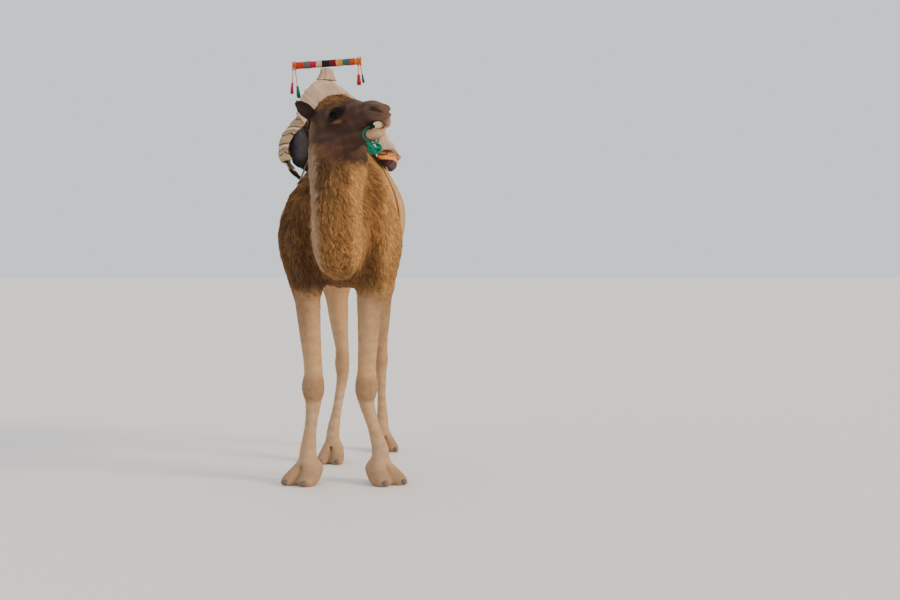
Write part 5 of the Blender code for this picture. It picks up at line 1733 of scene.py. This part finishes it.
class CAMEL_OT_pads(bpy.types.Operator):
    """The stuffed pads beside the hump, swollen by pressure inside their covers"""
    bl_idname = "camel.pads"
    bl_label = "Pads"

    def execute(self, context):
        colours = context.scene.camel_colours
        for word, colour, slot, pattern in (("right", colours.slate, "cloth_slate", None),
                ("left", colours.burgundy, "cloth_burgundy", gold_band)):
            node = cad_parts[f"pad_{word}"]
            mesh = node.data.copy()
            pad = bpy.data.objects.new(f"stuffed_pad_{word}", mesh)
            context.scene.collection.objects.link(pad)
            bm = bmesh.new()
            bm.from_mesh(mesh)
            bmesh.ops.remove_doubles(bm, verts=bm.verts, dist=1e-5)
            bm.normal_update()
            for vert in bm.verts:
                vert.co = vert.co - vert.normal * PAD_SLACK
            bm.to_mesh(mesh)
            bm.free()
            context.view_layer.objects.active = pad
            remesh = pad.modifiers.new("even faces", "REMESH")
            remesh.mode = "VOXEL"
            remesh.voxel_size = PAD_CELL
            applied(pad)
            before = np.empty(len(pad.data.vertices) * 3, np.float32)
            pad.data.vertices.foreach_get("co", before)
            cloth = pad.modifiers.new("stuffing", "CLOTH")
            cloth.settings.use_pressure = True
            cloth.settings.uniform_pressure_force = 4
            cloth.settings.effector_weights.gravity = 0
            cloth.settings.quality = 4
            for step in range(1, 15):
                context.scene.frame_set(step)
            applied(pad)
            context.scene.frame_set(1)
            after = np.empty(len(before), np.float32)
            pad.data.vertices.foreach_get("co", after)
            moved = (after - before).reshape(-1, 3)
            reach = np.linalg.norm(moved, axis=1, keepdims=True)
            moved = moved * np.minimum(1, PAD_SWELL / np.maximum(reach, 1e-6))
            places = before.reshape(-1, 3) + moved
            # seams pull the cover in near the pad's ends, and small puckers run along it
            flat = places - ANCHOR
            low, high = flat.min(axis=0), flat.max(axis=0)
            share = (flat - low) / (high - low)
            seam = np.exp(-((share[:, 1] - 0.06) / 0.012) ** 2) + np.exp(-((share[:, 1] - 0.94) / 0.012) ** 2)
            normals = np.empty(len(before), np.float32)
            pad.data.vertices.foreach_get("normal", normals)
            puckers = 0.5 + 0.5 * np.sin(flat[:, 1] * 2 * math.pi / 0.06 + 3 * share[:, 2])
            places = places - normals.reshape(-1, 3) * (0.0035 * seam + 0.0018 * puckers * 0.6)[:, None]
            pad.data.vertices.foreach_set("co", places.astype(np.float32).ravel())
            pad.data.update()
            pad.data.polygons.foreach_set("use_smooth", np.ones(len(pad.data.polygons), bool))
            mapped(pad, np.stack([flat[:, 1], flat[:, 2]], axis=1), "weave")
            smooth = pad.modifiers.new("finer", "SUBSURF")
            smooth.levels = smooth.render_levels = 1
            dressed(pad, cloth_finish(f"{word} pad", colour, None, 0.35, pattern), slot, f"pad_{word}")
        return {"FINISHED"}


def gold_band(f, u, v, ground):
    """A woven orange and gold band along the top of the pad, with small dark lozenges."""
    across = v - 1.752
    band = across.above(0.0, 0.003) * (1 - across.above(0.09, 0.003))
    wave = f.paint.maths("PINGPONG", u, 0.014) * (1 / 0.014)
    off = f.paint.maths("ABSOLUTE", across - 0.026) * 90
    lozenge = 1 - f.paint.maths("ABSOLUTE", off - wave).above(0.22, 0.08)
    gold = f.noise(0.02, 3.0).mix((0.62, 0.17, 0.03), (0.8, 0.38, 0.08))
    return band.mix(ground, lozenge.mix(gold, (0.1, 0.012, 0.012)))


def applied(obj):
    """Gives an object the mesh that its modifiers make, and clears them."""
    graph = bpy.context.evaluated_depsgraph_get()
    made = bpy.data.meshes.new_from_object(obj.evaluated_get(graph))
    obj.modifiers.clear()
    obj.data = made


class CAMEL_OT_girth(bpy.types.Operator):
    """The woven strap round the body, behind the front legs"""
    bl_idname = "camel.girth"
    bl_label = "Girth"

    def execute(self, context):
        points, _, _ = arrays(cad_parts["girth"])
        edge = points[points[:, 1] < points[:, 1].mean()]
        middle = np.array((0, 1.5))
        angle = np.arctan2(edge[:, 2] - middle[1], edge[:, 0] - middle[0])
        reach = np.hypot(edge[:, 0] - middle[0], edge[:, 2] - middle[1])
        order = np.argsort(angle)
        angle, reach = angle[order], reach[order]
        turns = np.linspace(-math.pi, math.pi, 241)[:-1]
        # the strap's line: the inner reach at each angle, smoothed round the body
        inner = np.array([reach[np.abs((angle - a + math.pi) % (2 * math.pi) - math.pi) < 0.12].min()
                          for a in turns])
        for _ in range(10):
            inner = (np.roll(inner, 1) + inner + np.roll(inner, -1)) / 3
        inner = inner - 0.001
        profile = [(-0.0262, 0.0), (-0.0262, 0.004), (-0.02, 0.0052), (0.0, 0.0048), (0.02, 0.0052),
            (0.0262, 0.004), (0.0262, 0.0), (0.0, -0.0004)]
        away = np.stack([np.cos(turns), 0 * turns, np.sin(turns)], axis=1)
        rows = np.array([(0, 0.405, 1.5)]) + away * inner[:, None]
        ring = (rows[:, None] + np.array([(0, a, 0) for a, _ in profile])
                + away[:, None] * np.array([b for _, b in profile])[None, :, None])
        faces = grid_faces(len(turns), len(profile), around=True, along=True)
        strap = outward(mesh_of("girth_strap", ring.reshape(-1, 3), faces))
        far = way_along(rows)
        places = np.stack([np.tile([a + 0.026 for a, _ in profile], (len(turns), 1)),
            np.repeat(far[:, None], len(profile), 1)], axis=-1)
        mapped(strap, places.reshape(-1, 2), "weave")
        dressed(strap, cloth_finish("webbing", context.scene.camel_colours.webbing, 0.003, 0.25, strap_edges),
                "webbing", "girth")
        return {"FINISHED"}


class CAMEL_OT_handle(bpy.types.Operator):
    """The saddle's front arch and post, the wound bar of the handle and the cloth gathered round the post"""
    bl_idname = "camel.handle"
    bl_label = "Saddle frame and handle"

    def execute(self, context):
        colours = context.scene.camel_colours
        arch = [(-0.202, 0.38, 1.925, 0.014), (-0.172, 0.388, 2.03, 0.015), (*POST_FOOT, 0.016),
                (0.02, 0.388, 2.03, 0.015), (0.12, 0.366, 1.905, 0.014), (0.158, 0.354, 1.862, 0.014)]
        path = smooth_path(arch, 70)
        bow = capped(*tube(path[:, :3], path[:, 3], 16), 70, 16)
        along = np.linspace(0, 1, 24)[:, None]
        post_path = np.array(POST_FOOT) * (1 - along) + np.array(POST_TOP) * along
        post = capped(*tube(post_path, POST_RADIUS + 0.0012 * np.sin(along[:, 0] * 40), 16), 24, 16)
        iron = outward(mesh_of("saddle_bow", *merged([bow, post])))
        dressed(iron, plain_finish("worn iron", colours.iron, 0.012, 0.55, 0.0008, 0.5, Metallic=0.6),
            "frame_metal", "saddle_frame")
        # the bar: strips of cloth wound round it, so its radius rises and falls with each turn
        rings, sides = 220, 20
        along = np.linspace(0, 1, rings)
        bar_path = np.array(BAR_RIGHT) + (np.array(BAR_LEFT) - np.array(BAR_RIGHT)) * along[:, None]
        angle = 2 * math.pi * np.arange(sides) / sides
        swell = 0.0014 * np.sin(2 * math.pi * 46 * along[:, None] + angle[None])
        uneven = 0.0009 * wander(bar_path, 0.05, 51)[:, None]
        ends = np.sqrt(np.clip(1 - (np.abs(2 * along - 1) - 0.955).clip(0) / 0.045 * 0.55, 0.2, 1))[:, None]
        bar = tube(bar_path, (BAR_RADIUS - 0.0022 + swell + uneven) * ends, sides)
        bar = capped(*bar, rings, sides)
        obj = outward(mesh_of("wound_bar", *bar))
        mapped(obj, tube_places(along, sides, 0, 1)[:, ::-1], "weave")
        dressed(obj, wound_strips(HANDLE_BANDS), "handle_wrap", "handle_bar")
        # gathered cloth: a bell whose radius waves round it, more towards its hem
        rings, sides = 30, 96
        along = np.linspace(0, 1, rings)
        start, stop = POST_TOP.lerp(POST_FOOT, 0.03), POST_TOP.lerp(POST_FOOT, 0.43)
        path = np.array(start) + (np.array(stop) - np.array(start)) * along[:, None]
        wide = np.interp(along, (0, 0.45, 0.8, 1), (0.033, 0.039, 0.048, 0.057))
        folds = 1 + (0.03 + 0.05 * along[:, None]) * np.sin(9 * 2 * math.pi * np.arange(sides)[None] / sides
            + 1.2 * np.sin(3 * along[:, None]))
        bell = capped(*tube(path, wide[:, None] * folds * 0.97, sides), rings, sides)
        obj = outward(mesh_of("post_cloth", *bell))
        mapped(obj, tube_places(along * 0.07, sides, 0, 0.07)[:, ::-1] * (1, 0.26), "weave")
        dressed(obj, cloth_finish("post cloth", colours.cream, 0.004, 0.25), "cloth_cream", "post_wrap")
        return {"FINISHED"}


# where each band of the handle's strips starts, from its right end, and its colour
HANDLE_BANDS = (
    (0.0, (0.5, 0.03, 0.012)), (0.15, (0.13, 0.115, 0.11)), (0.245, (0.42, 0.01, 0.045)),
    (0.335, (0.55, 0.42, 0.27)), (0.425, (0.014, 0.013, 0.013)), (0.54, (0.16, 0.008, 0.014)),
    (0.635, (0.62, 0.33, 0.06)), (0.675, (0.48, 0.24, 0.06)), (0.735, (0.055, 0.11, 0.11)),
    (0.845, (0.52, 0.055, 0.012)), (0.925, (0.66, 0.27, 0.02)),
)
# a tassel's cord top and end, its share of cord, radius, colours and slot
TASSELS = {
    "right_pink": ((-0.297, 2.249), (-0.304, 2.116), 0.5, 0.0115, (0.42, 0.01, 0.075), "wool_pink"),
    "right_green": ((-0.284, 2.249), (-0.264, 2.092), 0.55, 0.0135, (0.008, 0.19, 0.095), "wool_green"),
    "left_red": ((0.064, 2.275), (0.069, 2.166), 0.45, 0.015, (0.48, 0.022, 0.012), "wool_red"),
    "left_black": ((0.077, 2.275), (0.094, 2.18), 0.48, 0.0085, (0.03, 0.04, 0.09), "wool_black"),
}


class CAMEL_OT_tassels(bpy.types.Operator):
    """The wool tassels on their short cords at both ends of the handle"""
    bl_idname = "camel.tassels"
    bl_label = "Tassels"

    def execute(self, context):
        rng = np.random.default_rng(11)
        for word, ((x0, z0), (x1, z1), share, radius, colour, slot) in TASSELS.items():
            top, end = np.array((x0, BAR_RIGHT.y, z0)), np.array((x1, BAR_RIGHT.y, z1))
            way = unit(end - top)
            knot = top + (end - top) * share
            along = np.linspace(0, 1, 18)[:, None]
            path = top + (knot - top) * along
            points, faces = tube(path, CORD_RADIUS * 0.95, 10)
            cord = outward(mesh_of(f"twine_{word}", *capped(points, faces, 18, 10)))
            length = float(np.linalg.norm(knot - top))
            mapped(cord, tube_places(along[:, 0] * length, 10, 0, length), "weave")
            dressed(cord, twisted_finish(f"twine {word}", (0.6, 0.19, 0.02), 0.01), "cord_orange",
                f"cord_{word}")
            # strands bound at the neck: they leave the knot all round and hang down
            count = TASSEL_STRANDS
            round_way = rng.uniform(0, 2 * math.pi, count)
            aside = unit(np.cross(way, (0, 1, 0)))
            out = np.cos(round_way)[:, None] * aside + np.sin(round_way)[:, None] * np.cross(way, aside)
            depth = np.sqrt(rng.random(count))[:, None]
            tassel_length = float(np.linalg.norm(end - knot))
            roots = knot + way * 0.004 + out * depth * radius * 0.42
            lies = unit(way + out * depth * radius * 0.42 / tassel_length * 1.1)
            normals = unit(out - lies * (out * lies).sum(axis=1)[:, None])
            strands = locks(f"wool_{word}", roots, normals, lies,
                tassel_length * rng.uniform(0.86, 0.97, count), radius * 0.12, 0.04, 0.02,
                rng.uniform(0, 6.28, count), np.tile(colour, (count, 1)), 0.3, round_body)
            neck = Matrix.Translation(Vector(knot + way * 0.006))
            bound = globe((0, 0, 0), (radius * 0.62,) * 3, neck, 10, 14)[:3]
            # the cord's two turns round the bar
            share = (x0 - BAR_RIGHT.x) / (BAR_LEFT.x - BAR_RIGHT.x)
            centre = np.array(BAR_RIGHT) * (1 - share) + np.array(BAR_LEFT) * share
            a = np.linspace(0, 4 * math.pi, 61)
            turns = centre + np.stack([0.0042 * (a / (2 * math.pi) - 1), (BAR_RADIUS - 0.001) * np.sin(a),
                -(BAR_RADIUS + 0.0005) * np.cos(a)], axis=1)
            wound = capped(*tube(turns, CORD_RADIUS * 0.95, 8), 61, 8)
            knob = outward(mesh_of(f"knob_{word}", *merged([bound, wound])))
            toned(knob, np.vstack([np.tile(colour, (len(bound[0]), 1)),
                np.tile((0.5, 0.12, 0.02), (len(wound[0]), 1))]))
            mapped(knob, np.full((len(knob.data.vertices), 2), 0.5), "OFBake")
            dressed(knob, coat_finish(), slot)
            dressed(strands, coat_finish(), slot, f"tassel_{word}")
            [tuple(p + ANCHOR) for p in path]
        return {"FINISHED"}


class CAMEL_OT_jaw_rope(bpy.types.Operator):
    """The laid cord in one turn round the lower jaw, with its knot under the chin"""
    bl_idname = "camel.jaw_rope"
    bl_label = "Jaw rope"

    def execute(self, context):
        turn = np.array(HEAD)

        def placed(rows):
            return np.asarray(rows) @ turn[:3, :3].T + turn[:3, 3]

        def laid(far):
            """How much each side of the cord swells at each place along it: three strands, twisted."""
            around = (2 * math.pi * np.arange(12) / 12)[None]
            return 1 + 0.1 * np.sin(3 * around - far[:, None] / 0.016 * 2 * math.pi)

        a = 2 * math.pi * np.arange(96) / 96
        loop = np.stack([0.049 * np.cos(a), -0.35 + 0.01 * np.cos(2 * a), -0.121 + 0.041 * np.sin(a)], axis=1)
        far = way_along(loop)
        points, faces = tube(placed(loop), ROPE_RADIUS * 0.8 * laid(far), 12, closed=True)
        parts = [(points, faces, np.empty((0, 3), int))]
        maps = [tube_places(far, 12)]
        for rows in JAW_KNOT:
            path = smooth_path(rows, 60)
            far = np.linspace(0, np.linalg.norm(np.diff(path, axis=0), axis=1).sum(), 60)
            parts.append(capped(*tube(placed(path), KNOT_RADIUS * laid(far), 12), 60, 12))
            maps.append(tube_places(far, 12, 0, far[-1]))
        rope = outward(mesh_of("jaw_cord", *merged(parts)))
        mapped(rope, np.vstack(maps), "weave")
        dressed(rope, twisted_finish("green cord", context.scene.camel_colours.rope, 0.016), "rope_green",
            "jaw_rope")
        return {"FINISHED"}


# the knot's turns under the chin, in the head's frame
JAW_KNOT = (
    [(-0.034, -0.352, -0.16), (-0.028, -0.366, -0.178), (-0.004, -0.374, -0.186), (0.022, -0.37, -0.18),
     (0.036, -0.358, -0.176), (0.03, -0.346, -0.186), (0.004, -0.34, -0.192), (-0.024, -0.344, -0.184),
     (-0.034, -0.356, -0.176)],
    [(-0.018, -0.362, -0.166), (-0.02, -0.368, -0.19), (-0.008, -0.368, -0.206), (0.006, -0.358, -0.212),
     (0.012, -0.346, -0.204), (0.01, -0.34, -0.186), (0.006, -0.344, -0.168)],
    [(0.02, -0.352, -0.164), (0.026, -0.372, -0.174), (0.024, -0.376, -0.194), (0.012, -0.366, -0.206),
     (-0.004, -0.352, -0.208), (-0.016, -0.342, -0.196), (-0.014, -0.344, -0.176)],
    [(-0.03, -0.35, -0.172), (-0.022, -0.358, -0.194), (0.0, -0.362, -0.2), (0.022, -0.36, -0.196),
     (0.034, -0.352, -0.186)],
)


# ---- stage
class CAMEL_OT_stage(bpy.types.Operator):
    """A pale floor, soft studio light and the camera"""
    bl_idname = "camel.stage"
    bl_label = "Stage"

    def execute(self, context):
        scene = context.scene
        stage = scene.camel_stage
        side = 60.0
        along = np.linspace(-side, side, 3)
        points = np.stack([np.repeat(along, 3), np.tile(along, 3), np.zeros(9)], axis=1)
        floor = mesh_of("floor", points - ANCHOR, grid_faces(3, 3)[:, ::-1])
        _, normals, _ = arrays(floor)
        if normals[0, 2] < 0:
            floor.data.flip_normals()
        finish = Finish("floor")
        floor.data.materials.append(finish.made(tuple(stage.floor), 0.7))
        world = scene.world or bpy.data.worlds.new("studio")
        scene.world = world
        world.use_nodes = True
        background = world.node_tree.nodes["Background"]
        background.inputs["Color"].default_value = (*stage.air, 1)
        background.inputs["Strength"].default_value = stage.air_strength
        for name, place, wide, power, colour in (
                ("key", (6.0, -3.0, 4.2), 22, stage.key, (1.0, 0.8, 0.58)),
                ("fill", (-5.0, -6.0, 4.0), 60, stage.fill, (0.92, 0.95, 1.0)),
                ("back", (-2.0, 6.0, 5.0), 60, stage.back, (1.0, 0.95, 0.88))):
            light = bpy.data.lights.new(name, "SUN")
            light.angle = math.radians(wide)
            light.energy = power
            light.color = colour
            lamp = bpy.data.objects.new(name, light)
            lamp.location = place
            lamp.rotation_euler = (Vector((0, 0, 1.3)) - Vector(place)).to_track_quat("-Z", "Y").to_euler()
            scene.collection.objects.link(lamp)
        lens = bpy.data.cameras.new("camera")
        lens.lens = stage.lens
        lens.sensor_width = 36
        camera = bpy.data.objects.new("camera", lens)
        camera.location = Vector(stage.camera) + Vector(ANCHOR)
        camera.rotation_euler = (math.radians(90) - stage.pitch, 0, 0)
        scene.collection.objects.link(camera)
        scene.camera = camera
        return {"FINISHED"}


# ---- what a user may change
def colour(name, words, default):
    return FloatVectorProperty(name=name, description=words, default=default, size=3, min=0, max=1,
        subtype="COLOR")


def amount(name, words, default, low, high, **how):
    return FloatProperty(name=name, description=words, default=default, min=low, max=high, **how)


class CamelSizes(bpy.types.PropertyGroup):
    """How fine the skin is and how full the coat"""
    body_cell: amount("Body cell", "Spacing of the body's skin points", 0.0153, 0.008, 0.05, unit="LENGTH")
    leg_cell: amount("Leg cell", "Spacing of the legs' skin points", 0.0098, 0.005, 0.03, unit="LENGTH")
    head_cell: amount("Head cell", "Spacing of the head's skin points", 0.0041, 0.0025, 0.02, unit="LENGTH")
    tufts: IntProperty(name="Tufts", description="How many tufts the whole coat has", default=114000,
        min=1000, max=118000)
    coat_length: amount("Coat length", "Length of the tufts, as a share of their usual one", 1.0, 0.5, 1.5,
        subtype="FACTOR")


class CamelColours(bpy.types.PropertyGroup):
    """The colours of the coat and the tack"""
    flank: colour("Flank", "Short golden hair of the sides", (0.5, 0.265, 0.085))
    wool: colour("Wool", "Curly hair of neck, chest and crown", (0.42, 0.195, 0.058))
    brown: colour("Brown", "Darker hair of back, throat and shoulders", (0.13, 0.062, 0.026))
    # the grey of the neck's right band, partly painted shade, and of the lower legs
    dust_and_shade: colour("Dust", "The dusty band down the neck", (0.4, 0.275, 0.185))
    leg: colour("Legs", "Short pale hair of legs and belly", (0.42, 0.26, 0.135))
    callus: colour("Callus", "Bare skin of knees, hocks and feet", (0.25, 0.145, 0.08))
    tail: colour("Tail", "Long hair of the tail", (0.2, 0.11, 0.055))
    face: colour("Face", "Short dark hair of the face", (0.055, 0.028, 0.018))
    muzzle: colour("Muzzle", "Greyer hair along the nose", (0.15, 0.085, 0.058))
    lip: colour("Lips", "Pale lips and chin", (0.46, 0.28, 0.16))
    nail: colour("Nails", "Horn of the nails", (0.115, 0.085, 0.062))
    cream: colour("Cream cloth", "The upper blanket and the cloth on the post", (0.58, 0.4, 0.28))
    striped: colour("Striped cloth", "The ground of the striped blanket", (0.48, 0.35, 0.21))
    slate: colour("Slate cloth", "The right pad's cover", (0.05, 0.049, 0.056))
    burgundy: colour("Burgundy cloth", "The left pad's cover", (0.055, 0.008, 0.012))
    webbing: colour("Webbing", "The girth", (0.66, 0.54, 0.38))
    iron: colour("Iron", "The saddle's bow and post", (0.09, 0.075, 0.065))
    rope: colour("Rope", "The cord round the jaw", (0.006, 0.19, 0.12))


class CamelStage(bpy.types.PropertyGroup):
    """Floor, light and camera"""
    floor: colour("Floor", "The floor's colour", (0.8, 0.78, 0.75))
    air: colour("Air", "The colour of the light all round", (0.93, 0.95, 1.0))
    air_strength: amount("Air strength", "The light all round", 1.0, 0, 5)
    key: amount("Key", "The warm light from the camel's left", 3.0, 0, 50)
    fill: amount("Fill", "The cool light from its right", 0.25, 0, 50)
    back: amount("Back", "The light from behind", 0.35, 0, 50)
    lens: amount("Lens", "The camera's focal length in millimetres", 60.4, 10, 300)
    pitch: amount("Pitch", "How far the camera looks down", math.radians(1.897), -1, 1, subtype="ANGLE")
    camera: FloatVectorProperty(name="Camera",
        description="The camera's place, from the camel's reference point", default=(0.572, -8.0, 1.256),
        size=3, subtype="TRANSLATION", unit="LENGTH")


class CAMEL_PT_panel(bpy.types.Panel):
    """Everything the camel is made of"""
    bl_idname = "CAMEL_PT_panel"
    bl_label = "Saddled dromedary"
    bl_space_type = "VIEW_3D"
    bl_region_type = "UI"
    bl_category = "Camel"

    def draw(self, context):
        for group in (context.scene.camel_sizes, context.scene.camel_colours, context.scene.camel_stage):
            box = self.layout.box()
            for name in group.__annotations__:
                box.prop(group, name)
        for made in OPERATORS:
            self.layout.operator(made.bl_idname)


OPERATORS = (CAMEL_OT_stage, CAMEL_OT_skin, CAMEL_OT_coat, CAMEL_OT_eyes, CAMEL_OT_teeth, CAMEL_OT_nails,
    CAMEL_OT_pads, CAMEL_OT_blankets, CAMEL_OT_fringe, CAMEL_OT_girth, CAMEL_OT_handle, CAMEL_OT_tassels,
    CAMEL_OT_jaw_rope)
GROUPS = (("camel_sizes", CamelSizes), ("camel_colours", CamelColours), ("camel_stage", CamelStage))


def register():
    for name, group in GROUPS:
        bpy.utils.register_class(group)
        setattr(bpy.types.Scene, name, PointerProperty(type=group))
    for made in (*OPERATORS, CAMEL_PT_panel):
        bpy.utils.register_class(made)


def unregister():
    for made in (CAMEL_PT_panel, *reversed(OPERATORS)):
        bpy.utils.unregister_class(made)
    for name, group in reversed(GROUPS):
        delattr(bpy.types.Scene, name)
        bpy.utils.unregister_class(group)


def main():
    register()
    bpy.ops.camel.stage()
    bpy.ops.camel.skin()
    bpy.ops.camel.coat()
    bpy.ops.camel.eyes()
    bpy.ops.camel.teeth()
    bpy.ops.camel.nails()
    bpy.ops.camel.pads()
    bpy.ops.camel.blankets()
    bpy.ops.camel.fringe()
    bpy.ops.camel.girth()
    bpy.ops.camel.handle()
    bpy.ops.camel.tassels()
    bpy.ops.camel.jaw_rope()


if __name__ == "__main__":
    main()
